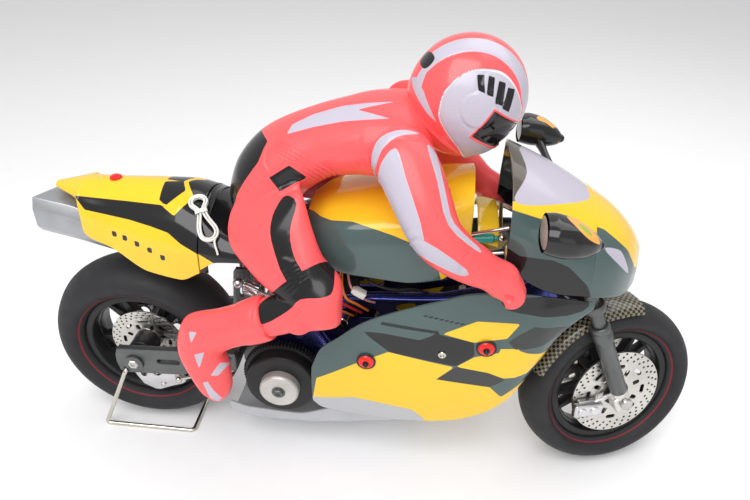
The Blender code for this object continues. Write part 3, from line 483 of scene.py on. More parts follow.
def outline(points, smoothing=5):
    """A closed smooth outline through its points."""
    ring = np.array(points, float)
    out = []
    for i in range(len(ring)):
        p0, p1, p2, p3 = (ring[(i + k) % len(ring)] for k in (-1, 0, 1, 2))
        for s in range(smoothing):
            t = s / smoothing
            out.append(0.5 * (2 * p1 + (p2 - p0) * t + (2 * p0 - 5 * p1 + 4 * p2 - p3) * t ** 2
                              + (3 * p1 - p0 - 3 * p2 + p3) * t ** 3))
    return [tuple(p) for p in out]


def inside_by(points, ring):
    """How far each (u, v) point lies inside a closed outline; negative outside."""
    points = np.asarray(points, float)
    ring = np.array(ring, float)
    near = np.full(len(points), 1e9)
    inside = np.zeros(len(points), bool)
    for a, b in zip(ring, np.roll(ring, -1, axis=0)):
        along = b - a
        if not along.any():
            continue
        t = np.clip(((points - a) @ along) / (along @ along), 0, 1)
        near = np.minimum(near, np.linalg.norm(points - (a + t[:, None] * along), axis=1))
        if a[1] != b[1]:
            crosses = (a[1] > points[:, 1]) != (b[1] > points[:, 1])
            at = a[0] + (points[:, 1] - a[1]) / (b[1] - a[1]) * along[0]
            inside ^= crosses & (points[:, 0] < at)
    return np.where(inside, near, -near)


def inside_any(points, rings):
    return np.max([inside_by(points, ring) for ring in rings], axis=0)


def field(made, name, values):
    """Stores one number a vertex, for a material's layers."""
    attribute = made.data.attributes.new(name, "FLOAT", "POINT")
    attribute.data.foreach_set("value", np.asarray(values, np.float32))


def side_on(points):
    """Design points seen square from the side."""
    return points[:, [0, 2]]


def slanted(points):
    """Design points seen from the side and 33 degrees above, the far half folded onto the near one."""
    return np.stack((points[:, 0], 0.84 * points[:, 2] - 0.54 * np.abs(points[:, 1])), axis=1)


def painted(made, name, flat, *rings):
    """Marks where a piece lies inside any of the outlines."""
    points = flat(design(made))
    field(made, name, inside_any(points, rings))


def line_ring(points, width):
    """The outline of a line of the given width through its points."""
    path = np.array(points, float)
    run = np.gradient(path, axis=0)
    run /= np.linalg.norm(run, axis=1)[:, None]
    across = np.stack((-run[:, 1], run[:, 0]), axis=1) * width / 2
    return [tuple(p) for p in path + across] + [tuple(p) for p in (path - across)[::-1]]


def sculpt(made, move):
    """Moves vertices along their normals by move(design points) millimetres."""
    points = design(made)
    normals = np.array([v.normal for v in made.data.vertices], float)
    amount = move(points, normals) * MM
    coords = np.array([v.co for v in made.data.vertices], float) + normals * amount[:, None]
    made.data.vertices.foreach_set("co", coords.astype(np.float32).ravel())
    made.data.update()
    return made


def show(made, material, body, *nodes, slot=None):
    """Gives a piece its material and its body, and hides the CAD nodes it stands for."""
    look = MATERIALS[material] if isinstance(material, str) else material
    made.data.materials.clear()
    made.data.materials.append(look)
    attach(made, body)
    if nodes:
        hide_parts(*nodes)
    return made

# ---------------------------------------------------------------- camera, lights and floor

CAMERA_PLACE = Vector((0.0316, -0.3344, 0.3657))
CAMERA_SWING, CAMERA_TILT, CAMERA_ROLL = 0.0854, 0.5705, 0.0306      # radians
SENSOR_WIDTH, LENS = 36, 30.64                                       # millimetres


def photograph_camera():
    """The camera at the photograph's place and angle."""
    back = Vector((math.sin(CAMERA_SWING) * math.cos(CAMERA_TILT),
                   -math.cos(CAMERA_SWING) * math.cos(CAMERA_TILT), math.sin(CAMERA_TILT)))
    right = Vector((math.cos(CAMERA_SWING), math.sin(CAMERA_SWING), 0))
    above = back.cross(right)
    across = math.cos(CAMERA_ROLL) * right + math.sin(CAMERA_ROLL) * above
    upward = math.cos(CAMERA_ROLL) * above - math.sin(CAMERA_ROLL) * right
    data = bpy.data.cameras.new("camera")
    data.sensor_width = SENSOR_WIDTH
    data.lens = LENS
    data.clip_start = 0.01
    made = linked("camera", data)
    turn = Matrix((across, upward, back)).transposed().to_4x4()
    made.matrix_world = Matrix.Translation(CAMERA_PLACE) @ turn
    bpy.context.scene.camera = made


def softbox(name, location, size, power):
    """A square area light that looks at the model."""
    data = bpy.data.lights.new(name, "AREA")
    data.shape = "SQUARE"
    data.size = size
    data.energy = power
    made = linked(name, data)
    made.location = location
    made.rotation_euler = (Vector((0, 0, 0.1)) - Vector(location)).to_track_quat("-Z", "Y").to_euler()


FLOOR = 60                       # metres from the middle of the floor to its edges


def studio():
    """Pale floor, pale surroundings and three soft lights."""
    bpy.context.scene.view_settings.view_transform = "Standard"
    data = bpy.data.meshes.new("floor")
    corners = [(-FLOOR, -FLOOR, 0), (FLOOR, -FLOOR, 0), (FLOOR, FLOOR, 0), (-FLOOR, FLOOR, 0)]
    data.from_pydata(corners, [], [(0, 1, 2, 3)])
    floor = linked("floor", data)
    data.materials.append(paint("floor_paper", (0.90, 0.90, 0.91), 0.75, vary=0.01, grain=(700, 0.02)))
    world = bpy.data.worlds.new("studio")
    world.use_nodes = True
    world.node_tree.nodes["Background"].inputs["Color"].default_value = (1, 1, 1, 1)
    world.node_tree.nodes["Background"].inputs["Strength"].default_value = 0.64
    bpy.context.scene.world = world
    softbox("key_light", (-0.2, -0.65, 1.05), 0.9, 11.5)
    softbox("top_light", (0.35, 0.35, 1), 0.8, 3.5)
    softbox("low_light", (0.6, -0.9, 0.35), 0.6, 0.7)


photograph_camera()
studio()

# ---------------------------------------------------------------- antenna

WIRE = 1.3
ANTENNA = [(69.4, -35.9, 161.9), (69.2, -35.7, 163.4), (68.7, -35.2, 165), (67.9, -34.4, 166.6)]
HANK_LINE = [(66.4, -32.8, 169), (61.2, -27.6, 175.3), (57.2, -21.6, 181.4), (53.5, -15.3, 184.3),
             (51, -11.3, 186.2)]
HANK_FACE = Vector((0.2, -0.6, 0.77))     # the seat's side faces this way under the hank
TIE_AT = 19.1                             # millimetres from the hank's lower end to its tie
HANK_LOW, HANK_HIGH = 13, 7.1             # from the tie to the lower and to the upper bend
LOW_BEND, HIGH_BEND = 14.6, 14            # wire in each bend
LOW_RADIUS, HIGH_RADIUS = 5.4, 5.2        # of each bend in the outer lane
HANK_TURN = HANK_HIGH + HIGH_BEND + HANK_HIGH + HANK_LOW + LOW_BEND + HANK_LOW
HANK_END = 31                             # the wire ends this far into its fourth turn
CHANGE_START, CHANGE_LENGTH = 38.1, 27.6  # where in a turn the wire changes its lane or layer
HANK_STEP = 1.5
LAYER = WIRE / 2                          # each layer's distance from the hank's middle


def eased_step(t):
    t = min(1, max(0, t))
    return t * t * (3 - 2 * t)


def hank_point(along, across, lift):
    """A point of the hank: along it from the tie, across it, and up from the seat."""
    line = np.array(HANK_LINE)
    knots = np.concatenate(([0], np.cumsum(np.linalg.norm(np.diff(line, axis=0), axis=1))))
    at = np.clip(along + TIE_AT, 0, knots[-1])
    here, ahead = curve_through(knots, line, np.array([at, min(at + 0.4, knots[-1])]))
    before = curve_through(knots, line, np.array([max(at - 0.4, 0)]))[0]
    run = Vector(ahead - before).normalized()
    side = run.cross(HANK_FACE).normalized()
    beyond = along + TIE_AT - at
    return Vector(here) + run * beyond + side * across + side.cross(run) * lift


def hank_lane(p, blend):
    """A loop of the hank: p runs round it from the tie, blend 0 is the outer lane and 1 the inner."""
    tie = 2.3 - 1.62 * blend
    low_r, high_r = LOW_RADIUS - 1.5 * blend, HIGH_RADIUS - 1.5 * blend

    def width(s):
        """Half the loop's width at s from the tie."""
        if s > 0:
            return tie + (high_r - tie) * eased_step(s / HANK_HIGH)
        return tie + (low_r - tie) * eased_step(-s / HANK_LOW)

    if p < HANK_HIGH:
        return p, width(p)
    p -= HANK_HIGH
    if p < HIGH_BEND:
        a = math.pi * p / HIGH_BEND
        return HANK_HIGH + high_r * math.sin(a), high_r * math.cos(a)
    p -= HIGH_BEND
    if p < HANK_HIGH + HANK_LOW:
        return HANK_HIGH - p, -width(HANK_HIGH - p)
    p -= HANK_HIGH + HANK_LOW
    if p < LOW_BEND:
        a = math.pi * p / LOW_BEND
        return -HANK_LOW - low_r * math.sin(a), -low_r * math.cos(a)
    s = p - LOW_BEND - HANK_LOW
    return s, width(s)


def antenna_route():
    """The wire's line: its tail out of the seat, then about 3.6 turns in two layers of two lanes."""
    points = [Vector(p) for p in ANTENNA]
    tail = Vector(ANTENNA[-1])
    join = hank_point(-HANK_LOW, LOW_RADIUS, -LAYER)
    ahead = hank_point(2 - HANK_LOW, LOW_RADIUS, -LAYER) - join
    start_pull = (tail - Vector(ANTENNA[-2])).normalized() * 6
    end_pull = ahead.normalized() * 6
    for t in (0.2, 0.4, 0.6, 0.8):
        points.append(tail * (1 - t) ** 3 + (tail + start_pull) * 3 * t * (1 - t) ** 2
                      + (join - end_pull) * 3 * t * t * (1 - t) + join * t ** 3)
    for step in range(int((3 * HANK_TURN + HANK_END + HANK_LOW) / HANK_STEP)):
        at = step * HANK_STEP - HANK_LOW
        k = 0 if at < 0 else int(at // HANK_TURN)
        p = at - k * HANK_TURN
        t = (p - CHANGE_START) / CHANGE_LENGTH
        blend = (eased_step(3 * t - 2), 1, 1 - eased_step(3 * t), 0)[k]
        lift = (-LAYER, -LAYER + WIRE * eased_step(3 * t - 1), LAYER, LAYER)[k]
        along, across = hank_lane(p, blend)
        points.append(hank_point(along, across, lift))
    return points


def antenna():
    route = antenna_route()
    wire = tube("antenna_cord", [tuple(p) for p in route], WIRE / 2, smoothing=1, resolution=4)
    wire.data.materials.append(MATERIALS["white"])
    band = []
    for k in range(24):
        a = 2 * math.pi * k / 24
        across = math.copysign(abs(math.cos(a)) ** 0.5, math.cos(a)) * 3.5
        lift = math.copysign(abs(math.sin(a)) ** 0.5, math.sin(a)) * 1.75
        band.append((across, lift))
    verts = [tuple(hank_point(s, x * swell, z * swell)) for s, swell in
             ((-1.2, 0.97), (-1.2, 1.06), (1.2, 1.06), (1.2, 0.97)) for x, z in band]
    faces = [(i * 24 + k, i * 24 + (k + 1) % 24, ((i + 1) % 4) * 24 + (k + 1) % 24, ((i + 1) % 4) * 24 + k)
             for i in range(4) for k in range(24)]
    tie = show(smooth(weld(mesh_object("antenna_tie", verts, faces))), "white", "chassis")
    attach(wire, "chassis")
    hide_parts("antenna_hank", "antenna_wire")


antenna()

# ---------------------------------------------------------------- wheels

REAR_SECTION = [(42.3, 13.2), (42.9, 15.2), (44.9, 17.5), (48.5, 20.2), (53, 20.7), (57.5, 18.4),
                (61.3, 13.8), (64, 7.6), (65.5, 0)]
FRONT_SECTION = [(42.3, 8.6), (42.9, 10), (44.9, 11.4), (47.5, 14.2), (50.5, 15.6), (54, 14.6),
                 (57.3, 10.6), (59.3, 5.6), (60.1, 0)]
STRIPE_RADIUS = 44.9


def slick(name, section, centre):
    """A treadless tyre: smooth crown and a thin coloured stripe."""
    half = np.array(section, float)
    full = np.vstack((half, half[-2::-1] * (1, -1)))
    steps = np.concatenate(([0], np.cumsum(np.linalg.norm(np.diff(full, axis=0), axis=1))))
    fine = curve_through(steps, full, np.linspace(0, steps[-1], 140))
    ring = [tuple(p) for p in fine]
    made = turned(name, ring, centre, steps=160, shade=60)
    points = design(made)
    radius = np.hypot(points[:, 0] - centre[0], points[:, 2] - centre[2])
    field(made, "stripe", 0.38 - np.abs(radius - STRIPE_RADIUS))
    return made


def spoked_rim(name, centre, half, hub_near, hub_far, bore, web_half):
    """Lipped hoop, turned hub and five forked spokes with a small window in each fork."""
    hoop = turned(name, [(37, half - 1), *arc(38.2, half - 1.2, 1.2, 180, 90, 3),
                         *arc(41.2, half - 1.2, 1.2, 90, 0, 3), (41.6, half - 3), (42.1, half - 3.4),
                         (42.1, 3.4 - half), (41.6, 3 - half), *arc(41.2, 1.2 - half, 1.2, 0, -90, 3),
                         *arc(38.2, 1.2 - half, 1.2, -90, -180, 3), (37, 1 - half),
                         (36.2, 3 - half), (36.2, half - 3), (37, half - 1)], centre, steps=120)
    hub = turned(name, [(bore, hub_near), *arc(8, hub_near - 1, 1, 90, 0, 3), (9, web_half + 2),
                        *arc(10.5, web_half + 1.5, 1.5, 180, 270, 4), (10.5, -web_half),
                        *arc(10.5, -web_half - 1.5, 1.5, 90, 180, 4), (9, 1 - hub_far),
                        *arc(8, 1 - hub_far, 1, 0, -90, 3), (bore, -hub_far)], centre, steps=64)
    windows = []
    for k in range(5):
        middle = 2 * math.pi * (k + 0.25) / 5
        fork = middle + math.pi / 5
        big = [(17, -0.30), (34.8, -0.40), (35.6, -0.2), (35.8, 0), (35.6, 0.2), (34.8, 0.40),
               (17, 0.30), (15.5, 0)]
        small = [(35.2, -0.13), (35.4, 0), (35.2, 0.13), (23, 0.03), (22.4, 0), (23, -0.03)]
        for shape, turn in ((big, middle), (small, fork)):
            windows.append([(centre[0] + r * math.cos(turn + a), centre[2] + r * math.sin(turn + a))
                            for r, a in shape])
    web = plate(name, circle(centre[0], centre[2], 37.4, 90), centre[1], 2 * web_half, windows, edge=0.9)
    return joined([hoop, hub, web], name)


def drilled_disc(name, centre, middle_y, radius, hub, thickness=1.3):
    """A floating brake disc: drilled band, oval windows on two circles and a slotted carrier."""
    x, z = centre[0], centre[2]
    holes = [circle(x, z, hub, 48)]
    for row, r in enumerate((0.955, 0.875, 0.795)):
        for k in range(30):
            a = 2 * math.pi * (k + 0.33 * row) / 30
            holes.append(circle(x + r * radius * math.cos(a), z + r * radius * math.sin(a), 0.027 * radius,
                                8))
    for k in range(8):
        a = 2 * math.pi * k / 8
        holes.append(oval(x + 0.64 * radius * math.cos(a), z + 0.64 * radius * math.sin(a),
                          0.22 * radius, 0.09 * radius, a + math.pi / 2))
        a += math.pi / 8
        holes.append(oval(x + 0.49 * radius * math.cos(a), z + 0.49 * radius * math.sin(a),
                          0.17 * radius, 0.10 * radius, a))
    disc = plate(name, circle(x, z, radius, 120), middle_y, thickness, holes, edge=0.12)
    carrier = turned(name, [(hub, 0.9), (0.42 * radius, 0.9), (0.42 * radius, -0.9), (hub, -0.9)],
                     (x, middle_y, z), steps=64)
    return joined([disc, carrier], name)


REAR = (0, 0, REAR_AXLE_Z)
FRONT = (WHEELBASE, 0, FRONT_AXLE_Z)
show(slick("rear_slick", REAR_SECTION, REAR), "rubber", "rear_wheel", "rear_tyre", slot="tyre")
show(spoked_rim("rear_wheel_rim", REAR, 13.5, 21.4, 25.7, 2.6, 4), "plastic", "rear_wheel", "rear_rim",
     slot="black")
show(drilled_disc("rear_disc", REAR, -8, 25.4, 9.1), "disc", "rear_wheel", "rear_brake_disc", slot="steel")
show(steered(slick("front_slick", FRONT_SECTION, FRONT)), "rubber", "front_wheel", "front_tyre",
     slot="tyre")
show(steered(spoked_rim("front_wheel_rim", FRONT, 9, 16, 16, 2.2, 3.5)), "plastic", "front_wheel",
     "front_rim", slot="black")
for side, word in SIDES:
    show(steered(drilled_disc("front_disc_" + word, FRONT, 15 * side, 31, 9.1)), "disc", "front_wheel",
         "front_brake_disc_" + word, slot="steel")


def toothed(name, centre, middle_y, outer, depth, teeth, thickness, hole, lightening=0):
    """A sprocket: rounded teeth, a bore and round lightening holes."""
    x, z = centre
    ring = []
    for k in range(teeth * 6):
        a = 2 * math.pi * k / (teeth * 6)
        r = outer - depth * (0.5 - 0.5 * math.cos(6 * math.pi * 2 * k / (teeth * 6) * teeth / 6))
        ring.append((x + r * math.cos(a), z + r * math.sin(a)))
    holes = [circle(x, z, hole, 32)]
    for k in range(lightening):
        a = 2 * math.pi * k / lightening
        middle = (hole + outer - depth) / 2
        holes.append(circle(x + middle * math.cos(a), z + middle * math.sin(a),
                            0.3 * (outer - depth - hole), 16))
    return plate(name, ring, middle_y, thickness, holes, edge=0.15)


def nut(name, centre, radius, height, side):
    """A hexagon nut on a washer, facing along Y."""
    turn = ALONG_Y if side < 0 else AGAINST_Y
    washer = turned(name, [(0, 0), (1.35 * radius, 0), (1.35 * radius, 0.25 * height), (0, 0.25 * height)],
                    centre, turn, 40)
    body = turned(name, [(0, 0.25 * height), (radius, 0.25 * height), (radius, 0.8 * height),
                         (0.86 * radius, height), (0.5 * radius, height), (0.45 * radius, 0.7 * height),
                         (0, 0.7 * height)], centre, turn, 6, 20)
    return joined([washer, body], name)


show(toothed("rear_chainwheel", (0, REAR_AXLE_Z), 24, 23.6, 1.7, 34, 1.9, 9.1, 6), "steel", "rear_wheel",
     "rear_sprocket", slot="steel")
show(joined([rod("rear_spindle", (0, -33, REAR_AXLE_Z), (0, 33, REAR_AXLE_Z), 2.5),
             nut("rear_spindle", (0, -31.6, REAR_AXLE_Z), 3.6, 2.4, -1),
             nut("rear_spindle", (0, 31.6, REAR_AXLE_Z), 3.6, 2.4, 1)], "rear_spindle"),
     "steel", "rear_wheel", "rear_axle", slot="steel")
show(steered(joined([rod("front_spindle", (WHEELBASE, -27.4, FRONT_AXLE_Z), (WHEELBASE, 27.4, FRONT_AXLE_Z),
                         1.9),
                     turned("front_spindle", [(0, 30), (3.4, 30), (4, 29.4), (4, 28), (0, 28)], FRONT),
                     turned("front_spindle", [(0, -28), (4, -28), (4, -29.4), (3.4, -30), (0, -30)],
                            FRONT)], "front_spindle")),
     "steel", "fork_lower", "front_axle", slot="steel")

# ---------------------------------------------------------------- swingarm, chain, rear brake and stand

PLATE_OUTLINE = [(-12.5, 65.5), (-12.2, 72), (-10.5, 77), (40, 80), (70, 82), (70.5, 81),
                 (70.5, 67.5), (69.5, 66.8), (42, 63), (32, 58.5), (-7.5, 56.5), (-11, 58.5)]


def axle_arm():
    """Slotted axle plates, bridge, pivot block and shock uprights."""
    pieces = []
    for side in (-1, 1):
        holes = [circle(0, REAR_AXLE_Z, 2.7), circle(-6.5, 59.5, 1.7), oval(24, 69, 16, 4, 0.04),
                 oval(48, 72.5, 14, 4, 0.05)]
        pieces.append(plate("axle_arm", PLATE_OUTLINE, 29 * side, 5, holes, edge=0.6))
        pieces.append(turned("axle_arm", [(2.6, 31.4), (5.6, 31.4), (6.3, 31.9), (6.3, 33), (5.4, 33.4),
                                          (2.6, 33.4)], (0, 0, REAR_AXLE_Z),
                             ALONG_Y if side < 0 else AGAINST_Y, 48))
        upright = [(66.6, 76), (66.6, 96), (70.4, 137), (72, 139.5), (79.5, 139.5), (81, 137.5),
                   (80, 98), (71.5, 76)]
        pieces.append(plate("axle_arm", upright, 15.5 * side, 3,
                            [oval(73.5, 103, 18, 4, 1.45), oval(75.2, 124, 12, 4, 1.45)], edge=0.5))
        pieces.append(screw("axle_arm", (66, 31.4 * side, 77), (0, side, 0), 1.8))
    pieces.append(block("axle_arm", (69, 0, 73), (4, 62, 11), 0.8))
    pieces.append(block("axle_arm", (90, 0, 67), (40, 27, 14), 1.2))
    for y in (-12.2, 0, 12.2):
        pieces.append(rod("axle_arm", (70, y, 133), (70, y + 0.01, 99), 0.9))
    pieces.append(rod("axle_arm", (75.6, -17.2, 133.5), (75.6, 17.2, 133.5), 2))
    return joined(pieces, "axle_arm")


show(axle_arm(), "grey_metal", "swingarm", "swingarm", slot="grey_metal")


CHAIN_REAR, CHAIN_FRONT = 23.8, 11.3      # radii of the chain's middle line on its sprockets
CHAIN_Y = 24


def racetrack(radius_rear, radius_front, share):
    """A point and direction of the chain line round the two sprockets, share 0 to 1."""
    gap = SHAFT[0]
    lean = math.acos((radius_rear - radius_front) / gap)
    straight = math.sqrt(gap ** 2 - (radius_rear - radius_front) ** 2)
    lengths = (radius_rear * (2 * math.pi - 2 * lean), straight, radius_front * 2 * lean, straight)
    at = share * sum(lengths)
    if at < lengths[0]:
        a = lean + at / radius_rear
        return (radius_rear * math.cos(a), REAR_AXLE_Z + radius_rear * math.sin(a)), a + math.pi / 2
    at -= lengths[0]
    if at < lengths[1]:
        start = (radius_rear * math.cos(-lean), REAR_AXLE_Z + radius_rear * math.sin(-lean))
        a = math.pi / 2 - lean
        return (start[0] + at * math.cos(a), start[1] + at * math.sin(a)), a
    at -= lengths[1]
    if at < lengths[2]:
        a = -lean + at / radius_front
        return (SHAFT[0] + radius_front * math.cos(a),
                SHAFT[1] + radius_front * math.sin(a)), a + math.pi / 2
    at -= lengths[2]
    start = (SHAFT[0] + radius_front * math.cos(lean), SHAFT[1] + radius_front * math.sin(lean))
    a = math.pi / 2 + lean
    return (start[0] + at * math.cos(a), start[1] + at * math.sin(a)), a


def chain():
    """Roller chain: outer and inner plates by turns, with a roller at each joint."""
    links = 92
    pieces = []
    for k in range(links):
        (x, z), turn = racetrack(CHAIN_REAR, CHAIN_FRONT, (k + 0.5) / links)
        out = 1.15 if k % 2 else 0.75
        for y in (CHAIN_Y - out, CHAIN_Y + out):
            pieces.append(plate("chain", oval(x, z, 4.4, 2, turn, 4), y, 0.35, edge=0.08))
        (x, z), turn = racetrack(CHAIN_REAR, CHAIN_FRONT, k / links)
        pieces.append(rod("chain", (x, CHAIN_Y - 1.25, z), (x, CHAIN_Y + 1.25, z), 0.62, 0.1, 8))
    return joined(pieces, "chain")


show(chain(), "steel", "swingarm", "drive_chain", slot="steel")

bracket = [(-7, 60), (-7.5, 66), (-7, 72), (0, 73.2), (8, 72), (9.5, 62.5), (29, 57),
           (31, 54), (31, 47), (28.5, 44.5), (20, 41), (11, 36.8), (8, 36.8), (0, 41), (-5, 51)]
show(joined([plate("brake_bracket", bracket, -24, 3, [circle(0, REAR_AXLE_Z, 2.7), circle(11, 53, 3.2),
                                                          oval(2, 52.5, 9, 4, 1.3)], edge=0.5),
             screw("brake_bracket", (25.5, -25.5, 52), (0, -1, 0), 1.9),
             screw("brake_bracket", (14, -25.5, 42), (0, -1, 0), 1.9)], "brake_bracket"),
     "aluminium", "swingarm", "rear_caliper_bracket", slot="aluminium")
show(joined([block("brake_caliper", (17, -18.6, 46), (15, 7, 9), 1.4),
             block("brake_caliper", (17, -11, 46), (14, 2.6, 8.4), 0.9),
             block("brake_caliper", (17, -15, 42.6), (9, 6, 2), 0.6),
             rod("brake_caliper", (13.4, -22.2, 46), (13.4, -21, 46), 2.3),
             rod("brake_caliper", (20.6, -22.2, 46), (20.6, -21, 46), 2.3)], "brake_caliper"),
     "aluminium", "swingarm", "rear_caliper", slot="aluminium")
show(joined([rod("torque_rod", (28, -27.2, 50.5), (64, -26.6, 63.5), 1.2),
             turned("torque_rod", arc(0, 0, 2.4, 90, -90, 10), (27, -27.4, 50)),
             turned("torque_rod", arc(0, 0, 2.4, 90, -90, 10), (65.5, -26.5, 64))], "torque_rod"),
     "chrome", "swingarm")


def bent(points, radius, steps=7):
    """The same path with its corners rounded off."""
    path = [Vector(points[0])]
    for before, corner, after in zip(points, points[1:], points[2:]):
        c = Vector(corner)
        a = c + (Vector(before) - c).normalized() * radius
        b = c + (Vector(after) - c).normalized() * radius
        for i in range(steps + 1):
            t = i / steps
            path.append(a * (1 - t) ** 2 + c * 2 * t * (1 - t) + b * t ** 2)
    path.append(Vector(points[-1]))
    return path


stand_side = [(-6.5, -27, 59.5), (-6.5, -33.6, 59.5), (-33.4, -28.9, 1.5), (31.8, -28.9, 1.5),
              (31.8, 0, 1.5)]
stand_path = bent(stand_side + [(x, -y, z) for x, y, z in reversed(stand_side[:-1])], 3.4)
show(solid_tube("wire_stand", stand_path, 1.5, smoothing=1, resolution=6), "chrome", "stand", "rear_stand",
     slot="chrome")

# ---------------------------------------------------------------- drive

gear_drum = turned("gear_drum", [(11, 39), (12, 39), *arc(21.5, 36.9, 1.9, 90, 10, 6),
                                 (24, 35), (24, 30.6), (25.4, 30.2), (25.4, 24.8), (4.3, 24.8)],
                   (SHAFT[0], 0, SHAFT[1]), steps=128)
gear_teeth = toothed("gear_teeth", SHAFT, -27.5, 27, 1.5, 72, 5, 20)
show(joined([gear_drum, gear_teeth], "drive_wheel"), "plastic", "drive_shaft", "drive_gear", slot="black")
hub_face = turned("gear_hub", [(0, 44.6), (3.6, 44.6), (3.9, 45), (11.6, 45), (12.7, 44), (12.9, 43),
                               (12.9, 38.8), (11, 38.6)], (SHAFT[0], 0, SHAFT[1]), steps=96)
pins = [turned("gear_hub", [(0, 45.25), (0.7, 45.25), (0.8, 45)],
               (SHAFT[0] + 8.6 * math.cos(a), 0, SHAFT[1] + 8.6 * math.sin(a)), steps=16)
        for a in (0.9, 2 + 0.9, 4 + 0.9)]
show(joined([hub_face, *pins], "gear_hub"), "hub_metal", "drive_shaft", slot="steel")
show(joined([rod("main_shaft", (SHAFT[0], -46, SHAFT[1]), (SHAFT[0], 27, SHAFT[1]), 3, 0.5),
             nut("main_shaft", (SHAFT[0], -44.8, SHAFT[1]), 3.3, 2.2, -1)], "main_shaft"),
     "grey_metal", "drive_shaft", "drive_shaft", slot="steel")
show(toothed("small_chainwheel", SHAFT, 24, 11.2, 1.7, 16, 1.9, 3.9), "steel", "drive_shaft",
     "front_sprocket",
     slot="steel")
show(joined([toothed("pinion", MOTOR, -28, 5.6, 1.1, 15, 5.6, 1.7),
             rod("pinion", (MOTOR[0], -31.2, MOTOR[1]), (MOTOR[0], -13.9, MOTOR[1]), 1.6)], "pinion"),
     "brass", "motor_shaft", "motor_pinion", slot="brass")
motor_can = turned("motor_can", [(0, 13.6), (5, 13.6), (5.2, 13), (12, 13), *arc(14.5, 12, 1, 90, 0, 4),
                                 (15.5, 6.5), (15.1, 6.1), (15.1, 5.3), (15.5, 4.9), (15.5, -9),
                                 (15.1, -9.4),
                                 (15.1, -10.2), (15.5, -10.6), *arc(14.5, -12, 1, 0, -90, 4), (0, -13.2)],
                   (MOTOR[0], 0, MOTOR[1]), steps=96)
show(motor_can, "silver", "chassis", "drive_motor", slot="steel")

# ---------------------------------------------------------------- frame and electrics

FRAME_OUTLINE = [(92, 52), (86, 66), (89, 88), (98, 104), (110, 124), (140, 129),
                 (200, 134), (238, 146), (249, 155), (255, 159), (268, 130.5), (262, 128.5),
                 (215, 118), (180, 108), (160, 94), (154, 74), (140, 56), (116, 48)]


def frame_side(side, word):
    """One anodised side plate with lightening slots, a raised rail and its screws."""
    y = 18.2 * side
    holes = [circle(*SHAFT, 4.4, 32), circle(*MOTOR, 3.2), circle(118, 116, 1.6),
             oval(150, 114, 26, 9, 0.1),
             oval(190, 122.5, 34, 9, 0.16), oval(226, 131, 20, 7, 0.28), oval(112, 98, 18, 8, 1.1)]
    pieces = [plate("frame_side_" + word, FRAME_OUTLINE, y, 3.4, holes, edge=0.4)]
    rail = [(112, y + 1.9 * side, 121), (140, y + 1.9 * side, 126.2), (200, y + 1.9 * side, 131),
            (238, y + 1.9 * side, 142.4), (252, y + 1.9 * side, 154)]
    pieces.append(solid_tube("frame_side_" + word, rail, 1.7, smoothing=8))
    for x, z in ((98, 94), (104, 80), (128, 58), (146, 66), (150, 92), (133, 123),
                 (170, 112), (206, 120.5), (246, 134)):
        pieces.append(screw("frame_side_" + word, (x, y + 1.7 * side, z), (0, side, 0), 1.7, 1))
    return joined(pieces, "frame_side_" + word)


for side, word in SIDES:
    show(frame_side(side, word), "blue_metal", "chassis", "frame_plate_" + word, slot="blue_metal")
boss = turned("tube_boss", [(2.6, 19.8), (2.6, 28.5), (4, 28.5), (4.3, 28.1), (4.3, 19.8)], (140, 0, 112),
              steps=40)
show(boss, "chrome", "chassis", slot="steel")
knurled = [turned("knurled_strut",
                  [(0, 0), (2.2, 0)] + [(2.6 + 0.25 * (-1) ** k, 0.6 + 0.8 * k) for k in range(38)]
                  + [(2.2, 31), (0, 31)], (117, -24, 113),
                  toward((16, -2, -27)), 28)]
show(joined(knurled, "knurled_strut"), "blue_metal", "chassis", slot="blue_metal")

FORK_TILT = Matrix.Rotation(-RAKE, 4, "Y")


def along_fork(name, profile, height=0, side=0, ahead=0, steps=64):
    return turned(name, profile, fork_point(height, side, ahead), FORK_TILT, steps)


show(joined([block("head_block", fork_point(100, 0, -14), (13, 32, 27), 1.6, FORK_TILT),
             along_fork("head_block", [(4.3, 84), (9.2, 84), (10, 84.8), (10, 88), (8.6, 89), (8.6, 111),
                                       (10, 112), (10, 115.2), (9.2, 116), (4.3, 116)])], "head_block"),
     "blue_metal", "chassis", "steering_head", slot="blue_metal")

cells = [turned("battery_cells", [(0, -21.8), (4, -21.8), *arc(5.9, -20.8, 1, -90, 0, 4),
                                  *arc(5.9, 20.8, 1, 0, 90, 4), (4, 21.8), (0, 21.8)], (176, y, z),
                Matrix.Rotation(math.pi / 2, 4, "Y"), 40) for y in (-7.2, 7.2) for z in (50.6, 63.4)]
show(joined(cells, "battery_cells"),
     paint("shrink_wrap", (0.02, 0.06, 0.13), 0.2, coat=0.5, grain=(350, 0.12)),
     "chassis", "battery_pack", slot="black")
show(joined([block("servo_case", (205, 0, 96), (40, 20, 30), 1),
             block("servo_case", (205, 0, 113.2), (38.6, 19, 3.4), 0.8),
             block("servo_case", (205, 0, 103), (39.9, 19.9, 1.2), 0.3),
             *[screw("servo_case", (205 + sx * 17.5, sy * 7.6, 114.8), (0, 0, 1), 1.2, 0.7)
               for sx in (-1, 1) for sy in (-1, 1)]], "servo_case"),
     "plastic", "chassis", "steering_servo", slot="black")
show(joined([block("receiver_case", (134, 0, 106), (26, 20, 15.6), 1.2),
             block("receiver_case", (134, 0, 117.6), (26, 20, 8), 1.2)], "receiver_case"),
     "dull", "chassis", "receiver", slot="black")
horn_plate = turned("steering_horn", [(0, 3.2), (2, 3.2), (2.2, 2.9), (2.2, 1.9), (4, 1.9), (4, 0), (0, 0)],
                    (215, 0, 117), Matrix.Identity(4), 40)
